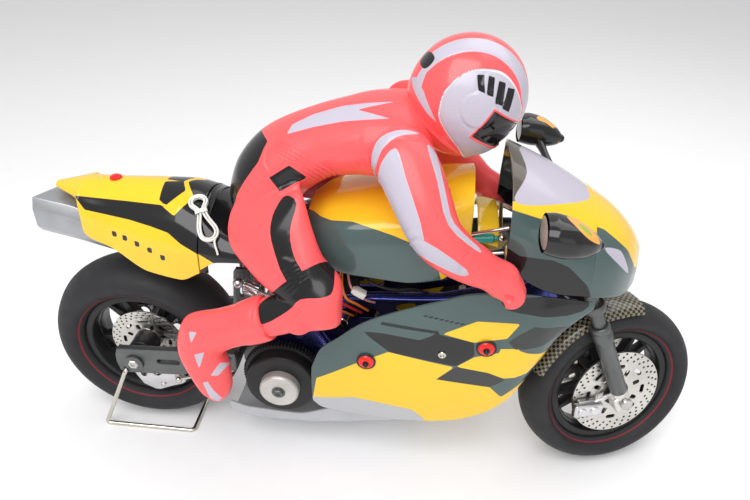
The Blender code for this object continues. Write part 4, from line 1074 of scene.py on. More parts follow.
show(joined([horn_plate, block("steering_horn", (215, 6.5, 118.5), (4.6, 14.6, 1.6), 0.6),
             screw("steering_horn", (215, 11.6, 119.2), (0, 0, 1), 1.3)], "steering_horn"),
     "white", "servo_horn", "servo_horn", slot="white")

# ---------------------------------------------------------------- shock absorber

SHOCK_Y = -25.3
SHOCK_FRONT = Vector((118, SHOCK_Y, 116))
SHOCK_REAR = Vector((76, SHOCK_Y, 135))
SHOCK_TILT = toward(SHOCK_REAR - SHOCK_FRONT)


def ball(name, centre, radius):
    return turned(name, arc(0, 0, radius, 90, -90, 14), centre, steps=32)


def fluted(name, low, high, radius, bore):
    """A damper tube with grooves along it, between two distances from the front eye."""
    profile = [(bore, low + 1), (bore, low), (radius - 0.9, low), (radius, low + 0.8), (radius, low + 2),
               (radius, (low + high) / 2), (radius, high - 2), (radius, high - 0.8), (radius - 0.9, high),
               (bore, high), (bore, high - 1)]
    made = turned(name, profile, SHOCK_FRONT, SHOCK_TILT, 144, 60)
    frame_turn = np.array(SHOCK_TILT.to_3x3())

    def grooves(points, normals):
        local = (points - np.array(SHOCK_FRONT)) @ frame_turn
        around = np.arctan2(local[:, 1], local[:, 0])
        skin_only = np.hypot(local[:, 0], local[:, 1]) > radius - 0.1
        middle = (local[:, 2] > low + 1.5) & (local[:, 2] < high - 1.5)
        return -0.45 * np.clip(0.5 + 1.5 * np.cos(12 * around), 0, 1) * skin_only * middle

    return sculpt(made, grooves)


show(joined([fluted("damper_body", 2.8, 28, 4.8, 1.9), ball("damper_body", SHOCK_FRONT, 3.4),
             rod("damper_body", SHOCK_FRONT, (118, -17, 116), 1.3)], "damper_body"),
     "aluminium", "shock_cylinder", "shock_cylinder", slot="steel")
damper_end = SHOCK_FRONT + (SHOCK_REAR - SHOCK_FRONT).normalized() * 17
show(joined([rod("damper_rod", damper_end, SHOCK_REAR, 1.5), ball("damper_rod", SHOCK_REAR, 3.4),
             fluted("damper_rod", 32.8, 42.2, 4.6, 1.5)], "damper_rod"),
     "aluminium", "shock_rod", "shock_rod", slot="chrome")

# ---------------------------------------------------------------- fork, front brake and fender

crown_parts = [rod("fork_bridge", fork_point(76, 0, 0), fork_point(125, 0, 0), 4)]
for low, high in ((76, 81.5), (118.5, 123.5)):
    middle = fork_point((low + high) / 2, 0, 1.5)
    crown_parts.append(block("fork_bridge", middle, (12, 2 * LEG_Y - 2, high - low), 1.2, FORK_TILT))
    for side in (-LEG_Y, LEG_Y):
        crown_parts.append(along_fork("fork_bridge", [(4, low), (6.6, low), (7, low + 0.5), (7, high - 0.5),
                                                      (6.6, high), (4, high)], 0, side, FORK_OFFSET))
        crown_parts.append(screw("fork_bridge", fork_point((low + high) / 2, side, 9.5), AHEAD_FORK, 1.2,
                                 0.8))
for side in (-LEG_Y, LEG_Y):
    crown_parts.append(rod("fork_bridge", fork_point(22, side), fork_point(126, side), 4, 0.8))
show(steered(joined(crown_parts, "fork_bridge")), "grey_metal", "fork_crown", "fork_crown",
     slot="grey_metal")

LEG_PROFILE = [(4.3, 64), (5.4, 64), (6, 63.4), (6.3, 62.6), (6.3, 60.4), (6, 60), (6, 59.2),
               (6.3, 58.8), (6.3, 52.6), (5.9, 51.4), (5.5, 50.6), (5.5, 8), (5.2, 7.4), (5.2, 6.4),
               (5.5, 5.8),
               (5.5, -3), (4.8, -4), (0, -4)]
fork_look = paint("fork_metal", (0.13, 0.135, 0.135), 0.38, 0.7, grain=(1800, 0.06),
                  layers=[("foot_silver", (0.66, 0.64, 0.60), 0.3)])
for side, word in ((-LEG_Y, "right"), (LEG_Y, "left")):
    leg_name = "fork_slider_" + word
    clamp = block(leg_name, fork_point(-1, side, 1.5), (11, 9.4, 11), 1.6, FORK_TILT)
    leg = joined([along_fork(leg_name, LEG_PROFILE, 0, side, FORK_OFFSET), clamp,
                  screw(leg_name, fork_point(-1, side, 8.6 - 1.8), AHEAD_FORK, 1.3, 0.8)], leg_name)
    field(leg, "foot_silver", 7.5 - (design(leg) - np.array(fork_point(0, side))) @ np.array(UP_FORK))
    show(steered(leg), fork_look, "fork_lower", "fork_leg_" + word, slot="grey_metal")

FENDER_SECTION = [(-15.2, 57), (-14.6, 59.4), (-13, 61.2), (-10.4, 62.8), (-7, 63.8), (-3.5, 64.4),
                  (0, 64.5),
                  (3.5, 64.4), (7, 63.8), (10.4, 62.8), (13, 61.2), (14.6, 59.4), (15.2, 57)]


def fender_rows():
    """Sections round the wheel; the sides draw in toward both ends."""
    rows = []
    for k in range(13):
        turn = math.radians(80 + 80 * k / 12)
        end = max(0, abs(k - 6) / 6 - 0.66) / 0.34
        rows.append([(WHEELBASE + (r + 1.2 * end * (abs(y) / 15.2) ** 2) * math.cos(turn), y,
                      FRONT_AXLE_Z + (r + 1.2 * end * (abs(y) / 15.2) ** 2) * math.sin(turn))
                     for y, r in FENDER_SECTION])
    return rows


def woven(name, cell):
    """Carbon weave: small squares of two tones, black and a beige painted sheen that stands for the light
    the fibres catch.
    """
    made = paint(name, (0.02, 0.019, 0.016), 0.2, coat=0.9, grain=(900, 0.03))
    nodes, link = made.node_tree.nodes, made.node_tree.links.new
    shader = nodes["Principled BSDF"]
    where = nodes.new("ShaderNodeUVMap")
    painted_sheen_checks = nodes.new("ShaderNodeTexChecker")
    painted_sheen_checks.inputs["Scale"].default_value = 1 / cell
    painted_sheen_checks.inputs["Color1"].default_value = (0.012, 0.011, 0.010, 1)
    # Color2, the beige, is painted sheen: light caught by the fibres, laid on as colour.
    painted_sheen_checks.inputs["Color2"].default_value = (0.21, 0.18, 0.12, 1)
    link(where.outputs["UV"], painted_sheen_checks.inputs["Vector"])
    link(painted_sheen_checks.outputs["Color"], shader.inputs["Base Color"])
    return made


carbon = woven("carbon_weave", 1.9)
fender = skin("front_mudguard", fender_rows(), 1.4, 1, -1, 0.2)
show(steered(fender), carbon, "fork_lower", "front_fender", slot="carbon")

front_brake = (WHEELBASE - 22, -20, FRONT_AXLE_Z - 7)
show(steered(joined([block("front_brake", front_brake, (20, 5.4, 9.6), 1.6),
                     block("front_brake", (front_brake[0], -17.8, front_brake[2] + 5), (12, 3, 2), 0.6),
                     block("front_brake", (front_brake[0] + 12, -19.2, front_brake[2] + 6.6), (16, 2, 3),
                           0.7,
                           Matrix.Rotation(-0.45, 4, "Y")),
                     rod("front_brake", (front_brake[0] - 5, -23.6, front_brake[2]),
                         (front_brake[0] - 5, -22, front_brake[2]), 3.1, 0.4),
                     rod("front_brake", (front_brake[0] + 4, -23.6, front_brake[2]),
                         (front_brake[0] + 4, -22, front_brake[2]), 3.1, 0.4)], "front_brake")),
     "aluminium", "fork_lower", "front_caliper", slot="aluminium")

# ---------------------------------------------------------------- body shells

SATIN_SILVER = (0.43, 0.44, 0.46)
GUNMETAL = (0.03, 0.032, 0.032)


def body_paint(name, colour, **options):
    return paint(name, colour, 0.13, coat=0.7, vary=0.05, grain=(240, 0.012), **options)


TAIL = [(-41, [(3, 181), (3, 181.6), (2.4, 182.8), (0, 183.6)]),
        (-22, [(15.6, 179.6), (15.6, 180.6), (12.5, 184.6), (0, 187)]),
        (-20, [(19.5, 161), (19, 172), (15, 182), (0, 187.2)]),
        (0, [(24, 152), (23, 166), (16, 181), (0, 188.5)]),
        (22, [(28.5, 140.5), (28.5, 160), (19, 181), (0, 189)]),
        (42, [(32, 139), (32, 158), (21, 181), (0, 189)]),
        (56, [(34.5, 146.5), (34, 159), (22, 178), (0, 185)])]
TAIL_BAND = [(-23, 145), (10, 144), (32, 143), (41, 137), (50, 149), (42, 160), (62, 160), (66, 111),
             (46, 121),
             (38, 127), (27, 130), (13, 133), (-16, 137)]
TAIL_WINDOW = [(29, 158), (40, 159), (44, 153), (35, 143), (30, 146)]
TAIL_SQUARES = [(2, 124), (9, 122), (17, 119), (25, 116), (33, 112)]

tail = skin("tail_shell", arch_rows(TAIL), 1.2)
squares = [[(u - 1.6, v - 1.4), (u + 1.6, v - 1.9), (u + 1.6, v + 1.3), (u - 1.6, v + 1.8)] for u,
           v in TAIL_SQUARES]
painted(tail, "tail_black", slanted, TAIL_WINDOW, TAIL_BAND, *squares)
show(tail, body_paint("tail_paint", YELLOW, layers=[("tail_black", BLACK, 0.12)]), "chassis", "tail_cowl",
     slot="yellow")

SEAT = [(56.8, [(34.7, 149), (34, 159), (22, 177.6), (0, 184.5)]),
        (68, [(36, 156), (35, 161), (25, 171), (0, 174)]),
        (88, [(36, 157), (35, 161), (27, 166), (0, 167)]),
        (110, [(33, 157), (32, 161), (25, 165), (0, 166.5)])]
seat = skin("seat_shell", arch_rows(SEAT), 1.4)
painted(seat, "seat_yellow", slanted, [(50, 119.5), (66.3, 111.3), (60, 95), (50, 95)])
show(seat, body_paint("seat_paint", BLACK, layers=[("seat_yellow", YELLOW, 0.12)]), "chassis", "seat",
     slot="black_gloss")
joint = [(x, [(w - 1.7, z - 0.6) for w,
              z in TAIL[-1][1][:3]] + [(0, TAIL[-1][1][3][1] - 1.9)]) for x in (53, 61)]
show(skin("seat_joint", arch_rows(joint), 2, 0.8), body_paint("joint_paint", BLACK), "chassis")

TANK = [(118.5, [(29, 157), (29.5, 166), (25, 179), (0, 184)]),
        (130, [(34, 158), (35, 168), (30, 184), (0, 190)]),
        (152, [(39, 157), (40.5, 168), (36, 187), (0, 196)]),
        (178, [(39, 155), (40.5, 168), (36, 190), (0, 201)]),
        (198, [(35, 156), (36, 170), (32, 195), (0, 207)]),
        (213, [(27, 168), (28, 180), (25, 200), (0, 210)])]
TANK_GREEN = [(110, 95), (110, 150), (123, 146), (128, 143), (135, 141), (147, 141), (170, 135), (182, 131),
              (194, 126), (204, 95)]
tank = skin("tank_shell", arch_rows(TANK), 1.4)
painted(tank, "tank_green", slanted, TANK_GREEN)
show(tank, body_paint("tank_paint", YELLOW, layers=[("tank_green", GREEN, 0.13)]), "chassis", "tank_cover",
     slot="yellow")

FAIRING = [(123.5, 58, 88), (129, 52, 103), (141, 49, 114.5), (154, 47.5, 126),
           (177, 46.5, 138), (199, 47.5, 147), (216, 51, 153.5), (235, 61, 156),
           (247, 74, 156.5), (257, 97, 156), (270, 130, 155), (284, 149, 153.5)]
FAIRING_BOW = ((0, -2.5), (0.12, -0.2), (0.28, 1.8), (0.45, 3), (0.6, 3.6), (0.74, 3.1), (0.85, 2.2),
               (0.94, 0.9), (1, 0))
FAIRING_YELLOW = [[(202, 126), (221, 137), (245, 138), (239, 127), (220.5, 122)],
                  [(127, 82), (152, 98), (171, 109), (211, 101.5), (201, 90), (234, 86.5), (243, 76),
                   (224, 60),
                   (195, 48), (188, 59), (150, 67), (124, 63)],
                  [(212, 102), (222, 111), (247, 120), (249, 96), (241, 95), (231.5, 99)],
                  [(236, 119), (244, 120), (252, 117), (261, 116), (269, 118), (260, 107), (255, 99),
                   (247, 96),
                   (239, 98)],
                  [(196, 62), (224, 62), (243, 78), (262, 100), (262, 40), (196, 40)]]
FAIRING_SILVER = [[(118, 63.5), (124, 63), (150, 67), (188, 59), (196, 50), (197, 30), (118, 30)]]
FAIRING_BLACK = [[(155, 121.5), (168, 122), (189, 120), (199, 125.5), (220.5, 122), (222, 112),
                  (212, 102.5),
                  (172, 109)],
                 line_ring([(166, 128.5), (200, 126.5)], 2.2),
                 line_ring([(190, 137), (214, 134)], 1.5),
                 [(232, 151), (239, 154), (254, 156), (273, 159), (279, 158), (281, 152), (278, 148),
                  (270, 145),
                  (256, 144), (243, 145), (237, 146)]]
FAIRING_GREY = [[(201, 90), (212, 102), (231.5, 99), (243, 94), (234, 86.5)],
                [(240, 125), (245, 130), (253, 137), (265, 137), (275, 136), (268, 129), (260, 123),
                 (250, 120),
                 (244, 120)]]
fairing_look = body_paint("fairing_paint", GREEN, layers=[("fairing_yellow", YELLOW, 0.12),
                                                          ("fairing_silver", SATIN_SILVER, 0.25),
                                                          ("fairing_grey", GUNMETAL, 0.15),
                                                          ("fairing_black", BLACK, 0.12)])
for side, word in SIDES:
    rows = []
    for x, low, high in FAIRING:
        half = 43.5 - 1.6 * max(0, (x - 255) / 29)
        rows.append([(x, side * (half + out * min(1, (high - low) / 60)), low + (high - low) * t)
                     for t, out in FAIRING_BOW])
    panel = skin("fairing_" + word, rows, 1.1, inward=1 if side < 0 else -1)
    painted(panel, "fairing_yellow", side_on, *FAIRING_YELLOW)
    painted(panel, "fairing_silver", side_on, *FAIRING_SILVER)
    painted(panel, "fairing_black", side_on, *FAIRING_BLACK)
    painted(panel, "fairing_grey", side_on, *FAIRING_GREY)
    show(panel, fairing_look, "chassis", "side_fairing_" + word, slot="green")

BELLY = [(63, [(30, 37), (29.5, 30), (21, 23), (0, 20)]),
         (78, [(34.5, 37.5), (34, 30), (25, 23), (0, 20.5)]),
         (110, [(36, 37.5), (35.5, 31), (26, 24.5), (0, 22)]),
         (136, [(38, 48), (36.5, 35), (27, 27), (0, 25)]),
         (160, [(39, 55), (36.5, 39), (27, 30.5), (0, 28)]),
         (200, [(37.5, 58), (34, 46), (25.5, 37), (0, 34)]),
         (228, [(35, 66), (31, 57), (22, 50), (0, 47)]),
         (244, [(28, 78), (24, 72), (16, 67), (0, 65)])]
belly = skin("belly_shell", arch_rows(BELLY), 1.8, inward=-1)
# The golden-brown layer on the front of the belly pan is a painted reflection, laid on as colour.
painted(belly, "belly_painted_reflection", side_on, [(198, 20), (204, 70), (260, 90), (260, 20)])
show(belly, body_paint("belly_paint", SATIN_SILVER, layers=[("belly_painted_reflection", (0.62, 0.42, 0.12), 0.2)]),
     "chassis", "belly_pan", slot="silver_paint")

NOSE = [(232, [(40, 176), (40, 190), (36.5, 205), (27, 217), (13, 224), (0, 226)]),
        (246, [(41, 163), (41.5, 184), (37, 201.5), (27, 212), (13, 217.5), (0, 219)]),
        (262, [(41.5, 157), (41, 178), (35.5, 197), (25, 205.5), (12, 209.5), (0, 211)]),
        (280, [(39.5, 155), (37, 172), (31, 189.5), (22, 196), (11, 199.5), (0, 201)]),
        (296, [(30, 150), (29, 166), (24, 180), (17, 186.5), (9, 189.5), (0, 190.5)]),
        (307, [(19, 146), (19, 158), (16, 170), (11, 176), (6, 179), (0, 180)]),
        (312.5, [(11, 148), (11, 156), (9, 164), (6.5, 168.5), (3.5, 171), (0, 172)])]
SCREEN_PANEL = [(236, 195), (262, 184), (278, 166), (257, 158), (233, 157), (239, 174)]
NOSE_YELLOW = [(224, 155), (232, 155), (260, 152), (284, 147), (301, 137), (309, 128), (322, 128),
               (322, 185),
               (240, 205), (222, 190)]
NOSE_BLACK = [(230, 134), (239, 129), (257, 128), (266, 125), (278, 116), (283, 108), (283, 98), (262, 96),
              (230, 96)]
NOSE_STREAK = [(285, 136), (304, 124), (298, 134), (293, 137)]
SCREEN_ROWS = 4                  # the screen fills the opening between the nose's first sections
SCREEN_EDGE = 2                  # and between this point of each section and its mirror image


def nose_strips():
    """The nose's skin in strips round the opening for the screen."""
    rows = arch_rows(NOSE)
    strips = [skin("nose_shell", [row[:SCREEN_EDGE + 1] for row in rows[:SCREEN_ROWS]], 1.3),
              skin("nose_shell", [row[-SCREEN_EDGE - 1:] for row in rows[:SCREEN_ROWS]], 1.3),
              skin("nose_shell", rows[SCREEN_ROWS - 1:], 1.3)]
    return joined(strips, "nose_shell")


nose = nose_strips()
painted(nose, "nose_yellow", slanted, NOSE_YELLOW)
painted(nose, "nose_black", slanted, NOSE_BLACK)
painted(nose, "nose_silver", slanted, outline(NOSE_STREAK), outline(SCREEN_PANEL))
show(nose, body_paint("nose_paint", GREEN,
                      layers=[("nose_yellow", YELLOW, 0.12), ("nose_black", BLACK, 0.12),
                                                   ("nose_silver", LILAC, 0.3)]), "chassis", "nose_cowl",
                                                   slot="green")


def screen_rows():
    """The windscreen follows the nose's opening, held a gap inside it, and rakes back at the top."""
    rows = []
    for x, half in NOSE[:SCREEN_ROWS]:
        row = []
        for w, z in half[SCREEN_EDGE:]:
            inset = 0.6 if w > 30 else 0.2
            row.append((x, -max(0, w - inset), z - 0.2))
        rows.append(mirrored(row))
    rows[0] = [(x - 3 * (1 - abs(y) / 36), y, z + 0.8 * (1 - abs(y) / 36)) for x, y, z in rows[0]]
    return rows


screen = skin("screen_shell", screen_rows(), 1.2, 0.9, rim=0.2)
painted(screen, "screen_silver", slanted, outline(SCREEN_PANEL))
painted(screen, "screen_yellow", slanted, [(258, 160), (279, 172), (285, 165), (285, 140),
                                           (225, 150), (225, 156.5)])
show(screen, paint("screen_plastic", (0.10, 0.085, 0.07), 0.14, coat=0.6, vary=0.04, grain=(300, 0.01),
                   layers=[("screen_yellow", YELLOW, 0.12), ("screen_silver", LILAC, 0.32)]),
     "chassis", "windscreen", slot="smoke")

silencer_rows = []
for x_near, x_far, z_mid, high in ((4, 4, 150.5, 11), (-30, -24, 161, 12.5), (-52.6, -40.6, 165.4, 12)):
    ring = [(-15, -0.55 * high), (-15, 0.45 * high), (-12, high), (12, high), (15, 0.45 * high),
            (15, -0.55 * high), (11, -high), (-11, -high)]
    silencer_rows.append([(x_near if y < 0 else x_far, y, z_mid + dz) for y, dz in ring])


def muffler():
    """The exhaust box: flat facets with rounded edges and a sunk end cap."""
    verts = [p for row in silencer_rows for p in row]
    faces = [tuple(range(8)), tuple(range(16, 24))]
    faces += [(8 * i + k, 8 * i + (k + 1) % 8, 8 * i + 8 + (k + 1) % 8, 8 * i + 8 + k)
              for i in range(2) for k in range(8)]
    made = weld(mesh_object("muffler", verts, faces))
    shape = bmesh.new()
    shape.from_mesh(made.data)
    shape.faces.ensure_lookup_table()
    end = min(shape.faces, key=lambda f: f.calc_center_median().x)
    bmesh.ops.inset_region(shape, faces=[end], thickness=1.6 * MM, depth=0)
    bmesh.ops.inset_region(shape, faces=[end], thickness=0.3 * MM, depth=-1.2 * MM)
    shape.to_mesh(made.data)
    shape.free()
    modifier(made, "BEVEL", width=0.7 * MM, segments=3, limit_method="ANGLE", angle_limit=math.radians(25))
    return settle(made, 30)


show(muffler(), "silver", "chassis", "silencer", slot="silver_paint")

bracket_rows = [[(x, y, z + h) for y,
                 h in ((-24, 0), (-21, 5), (-18, 8.5), (-9, 10.5), (0, 11.5), (9, 10.5),
                                            (18, 8.5), (21, 5), (24, 0))]
                for x, z in ((217, 176), (223, 175.2), (229, 174))]
show(skin("inner_bracket", bracket_rows, 1.6), "yellow_paint", "chassis", "cowl_bracket", slot="yellow")

STICKER = (0.80, 0.36, 0.06)
for side, word in SIDES:
    rings = [((243.5, 66.8, 210.5), 8.3, 11), ((248, 67.3, 210.2), 9.2, 11.6),
             ((252, 67.5, 209.5), 9.3, 11.4),
             ((258, 67.4, 208.5), 8.6, 10.2), ((263, 67, 207.2), 7.3, 8.2), ((268, 66.5, 206), 5, 5.4),
             ((271, 66, 205.2), 2.6, 2.8)]
    rows = []
    for (x, y, z), high, wide in rings:
        ring = []
        for k in range(33):
            a = 2 * math.pi * k / 32
            across = math.copysign(abs(math.cos(a)) ** 0.8, math.cos(a)) * wide
            up = math.copysign(abs(math.sin(a)) ** 0.8, math.sin(a)) * high
            ring.append((x + 0.1 * up, side * (y + across), z + up))
        rows.append(ring)
    housing = weld(skin("mirror_shell_" + word, rows, 1, 0))
    stalk = solid_tube("mirror_shell_" + word, [(256, 60 * side, 205), (259, 50 * side, 201.5),
                                                (262, 38.5 * side, 197)], [3.4, 2.4, 2.8])
    nosecap = ball("mirror_shell_" + word, (270.6, 66 * side, 205.2), 2.7)
    housing = joined([housing, stalk, nosecap], "mirror_shell_" + word)
    at = design(housing)
    outside = np.abs(at[:, 1]) - 62
    for label, ring in (("sticker", [(253, 149), (262, 147), (267, 142.5), (269.5, 137), (261, 140)]),
                        ("sticker_green", [(258, 146), (262, 144.6), (265, 140.6), (261, 142)])):
        field(housing, label, np.minimum(inside_by(slanted(at), outline(ring, 4)), outside))
    show(housing, paint("mirror_plastic_" + word, BLACK, 0.14, coat=0.7, grain=(260, 0.03),
                        layers=[("sticker", STICKER, 0.3), ("sticker_green", (0.30, 0.42, 0.03), 0.3)]),
         "chassis", "mirror_" + word, slot="black")
    glass = turned("mirror_glass_" + word, [(0, 0.6), (9, 0.4), (10.2, 0)], (243.6, 66.8 * side, 210.5),
                   Matrix.Rotation(-math.pi / 2, 4, "Y") @ Matrix.Diagonal((0.72, 1.02, 1, 1)), 48)
    show(glass, "mirror", "chassis")

# ---------------------------------------------------------------- caps, posts and handlebar

CAP_PROFILE = [(0, 2.2), (1.6, 2.1), (3, 1.8), (4.2, 1.2), (4.9, 0.5), (5, 0)]


def cap(name, node, centre, tilt):
    """A soft red dome on its black post, with a black button."""
    turn = Matrix.Rotation(math.pi / 2 - tilt, 4, "X")
    dome = turned(name, CAP_PROFILE, centre, turn, 48)
    show(dome, "red_cap", "chassis", node, slot="red")
    button = turned(name + "_post", [(0, 4.6), (0.9, 4.5), (1.5, 3.8), (1.9, 2.6), (1.9, 1.4)], centre,
                    turn, 24)
    ring = turned(name + "_post", [(4.7, 0.5), (5.6, 0.6), (5.9, 0.3), (5.9, 0), (4.7, 0)], centre, turn,
                  48)
    show(joined([button, ring], name + "_post"), "plastic", "chassis")


cap("front_cap", "fairing_cap_front", (228, -47.8, 119), 0)
cap("rear_cap", "fairing_cap_rear", (158, -47.6, 100.5), 0)
cap("filler_cap", "tank_cap", (197, -17.4, 202.2), 1.21)
show(joined([screw("panel_screws", (203, -47, 111), (0, -1, 0), 2.4, 1.2),
             screw("panel_screws", (203, 47, 111), (0, 1, 0), 2.4, 1.2)], "panel_screws"), "chrome",
             "chassis")
tail_cap = turned("tail_button", [(0, 1.9), (2.2, 1.7), (3.4, 1), (3.8, 0)], (-2.6, 0, 188.5),
                  Matrix.Identity(4), 40)
show(tail_cap, "red_cap", "chassis")

bar_half = [(232, -41.5, 169), (238, -32, 171), (248, -20, 172), (250, 0, 172)]
bar = bar_half + [(x, -y, z) for x, y, z in reversed(bar_half[:-1])]
show(solid_tube("bars", bent(bar, 4), 2, smoothing=1, resolution=6), "steel", "chassis", "handlebar",
     slot="steel")

# ---------------------------------------------------------------- rider

def lofted(name, rings, sides=44, cell=1.6):
    """A closed smooth body through oval rings of (centre, one half axis, the other half axis)."""
    rows = []
    for centre, first, second in rings:
        c, u, w = Vector(centre), Vector(first), Vector(second)
        turns = [2 * math.pi * k / sides for k in range(sides + 1)]
        rows.append([tuple(c + u * math.cos(a) + w * math.sin(a)) for a in turns])
    made = weld(skin(name, rows, cell, 0))
    shape = bmesh.new()
    shape.from_mesh(made.data)
    bmesh.ops.holes_fill(shape, edges=[e for e in shape.edges if e.is_boundary])
    bmesh.ops.recalc_face_normals(shape, faces=shape.faces)
    shape.to_mesh(made.data)
    shape.free()
    return made


def fused(pieces, name, voxel=1.1, rounds=8):
    """Several closed bodies melted into one smooth skin."""
    made = joined(pieces, name)
    modifier(made, "REMESH", mode="VOXEL", voxel_size=voxel * MM, adaptivity=0)
    modifier(made, "SMOOTH", factor=0.6, iterations=rounds)
    return settle(made, 80)


def facing(made):
    """How far each point faces the nearer side, seen from 33 degrees above."""
    normals = np.array([v.normal for v in made.data.vertices], float)
    return 0.84 * np.sign(design(made)[:, 1]) * normals[:, 1] + 0.54 * normals[:, 2]


def beside(points, path):
    """Distance from a line of (u, v) points, and how far along it each point lies."""
    path = np.array(path, float)
    best = np.full(len(points), 1e9)
    along = np.zeros(len(points))
    start = 0
    for a, b in zip(path, path[1:]):
        run = b - a
        long = np.linalg.norm(run)
        t = np.clip((points - a) @ run / long ** 2, 0, 1)
        away = np.linalg.norm(points - (a + t[:, None] * run), axis=1)
        nearer = away < best
        best = np.where(nearer, away, best)
        along = np.where(nearer, start + t * long, along)
        start += long
    return best, along


def seam(flat, path, width, height):
    """A ridge, or with a negative height a groove, beside a line."""
    return height * np.exp(-(beside(flat, path)[0] / width) ** 2)


def away_from_tube(points, stations):
    """Distance outside a round limb given as (centre, radius) stations."""
    best = np.full(len(points), 1e9)
    for (a, ra), (b, rb) in zip(stations, stations[1:]):
        a, run = np.array(a), np.array(b) - np.array(a)
        t = np.clip((points - a) @ run / (run @ run), 0, 1)
        best = np.minimum(best, np.linalg.norm(points - (a + t[:, None] * run),
                                               axis=1) - (ra + t * (rb - ra)))
    return best


TORSO = [((88.5, 0, 177.5), (17, 0, -3), (0, 24, 0)),
         ((90.5, 0, 186), (20, 0, -3), (0, 30, 0)),
         ((95.5, 0, 198), (21, 0, -7), (0, 31, 0)),
         ((106.5, 0, 211), (17, 0, -13.5), (0, 29, 0)),
         ((125, 0, 221), (11.5, 0, -16.5), (0, 27.5, 0)),
         ((144, 0, 226), (8, 0, -19.5), (0, 31, 0)),
         ((161, 0, 229), (5.5, 0, -21.5), (0, 34, 0)),
         ((177, 0, 234), (4, 0, -17.5), (0, 31, 0)),
         ((188, 0, 237), (3, 0, -11), (0, 17, 0))]
ARM = [((168, -30, 233), 15.5), ((175, -40, 229), 16.2), ((184, -52, 216), 15.2),
       ((192, -60, 202), 13.6), ((202, -61, 192), 12.4), ((214, -58, 183), 11),
       ((222, -55.5, 177.5), 9.6), ((230, -54, 172.5), 10), ((234, -54, 169.5), 8)]
LEG = [((96, -28, 198), (21.5, 0, 13), (0, 9, 0)),
       ((99, -36, 189), (22, 0, 14.5), (0, 11.5, 2)),
       ((108, -45, 177), (18.5, 0, 13.5), (0, 12.5, 4)),
       ((120, -53, 165), (14, 0, 10), (0, 12.5, 4)),
       ((133, -58.5, 157), (12.5, 0, 3.5), (0, 12, 3)),
       ((134, -59, 149), (11, 0, -9.5), (0, 11.5, 0)),
       ((117, -58.5, 143), (2.5, 0, -11.5), (0, 11.5, 0)),
       ((101, -58, 136.5), (4, 0, -11), (0, 11, 0)),
       ((89.5, -57.5, 131), (4.5, 0, -10.5), (0, 10.5, 0))]
HIP = [((96, -12, 206), (8, 0, 5), (0, 6, 2)),
       ((95, -20, 201), (17, 0, 10), (0, 10, 3)),
       ((96.5, -28.5, 195.5), (21, 0, 13), (0, 11, 3))]
BOOT = [((89, -57.5, 130.7), (4.8, 0, -11.6), (0, 11.8, 0)),
        ((76, -57, 125), (4.5, 0, -12), (0, 11.5, 0)),
        ((63, -56.5, 118), (10, 0, -12.5), (0, 11, 0)),
        ((60.5, -57, 106), (14.5, 0, -3.5), (0, 11, 0)),
        ((64, -58, 92), (12.5, 0, 2), (0, 11, 0)),
        ((67.5, -59, 80), (9.5, 0, 2.5), (0, 10, 0)),
        ((69.5, -59.5, 73), (5, 0, 1.5), (0, 6, 0))]
BOOT_CUFF = [((103, -58, 137.2), (4.6, 0, -12.6), (0, 12.7, 0)),
             ((97, -57.8, 134.6), (4.9, 0, -13), (0, 13.1, 0)),
             ((88, -57.5, 130.2), (5, 0, -12.2), (0, 12.3, 0))]
HELMET_CENTRE = Vector((203.8, 0, 252.3))
HELMET_RADII = (31.5, 28, 33)
HELMET_PITCH = math.radians(35)


def sided(point, side):
    """A point given on the right: kept there for side -1, on the left for side 1."""
    return (point[0], -point[1] * side, point[2])


def sided_rings(rings, side):
    return [(sided(centre, side), first, sided(second, side)) for centre, first, second in rings]


def limb(name, stations, side):
    """A closed tube through (centre, radius) stations with round ends."""
    centres = [sided(c, side) for c, r in stations]
    radii = [r for c, r in stations]
    return solid_tube(name, centres, radii, smoothing=8, resolution=8)


def hand(name, side):
    """Four curled fingers, a thumb and the palm round the grip."""
    pieces = [limb(name, [((221, -53, 173), 6), ((228.5, -54, 170), 8), ((234, -55, 166.5), 6.5)], side),
              limb(name, [((233.5, -60, 167), 5.5), ((233.5, -52, 167), 5.5)], side)]
    for k in range(4):
        y = -61 + 4.5 * k
        reach = (0, 0.9, 0.6, -0.6)[k]
        finger = [((229 + reach, y, 174.5), 3.4), ((235.4 + reach, y, 172.2), 3.7),
                  ((239 + reach, y, 167.2), 3.3),
                  ((237 + reach, y, 162.6), 3), ((232, y + 0.3, 161.6), 2.8)]
        pieces.append(limb(name, finger, side))
    thumb = [((224, -47.6, 173), 4), ((230, -45.4, 168.6), 3.7), ((235, -45.6, 164.4), 3)]
    return pieces + [limb(name, thumb, side)]


def rider_body():
    """Torso, arms, gloves and legs melted together, with the suit's ribs, seams and folds."""
    pieces = [lofted("rider_suit", TORSO)]
    for side in (-1, 1):
        pieces.append(limb("rider_suit", ARM, -side))
        pieces += hand("rider_suit", -side)
        pieces.append(lofted("rider_suit", sided_rings(HIP + LEG[1:], -side)))
        pieces.append(limb("rider_suit", [((117, -66, 139), 4.5), ((123, -66.5, 141.5), 6.5),
                                          ((129, -65, 145), 4.5)], -side))
    return fused(pieces, "rider_suit", 1, 12)


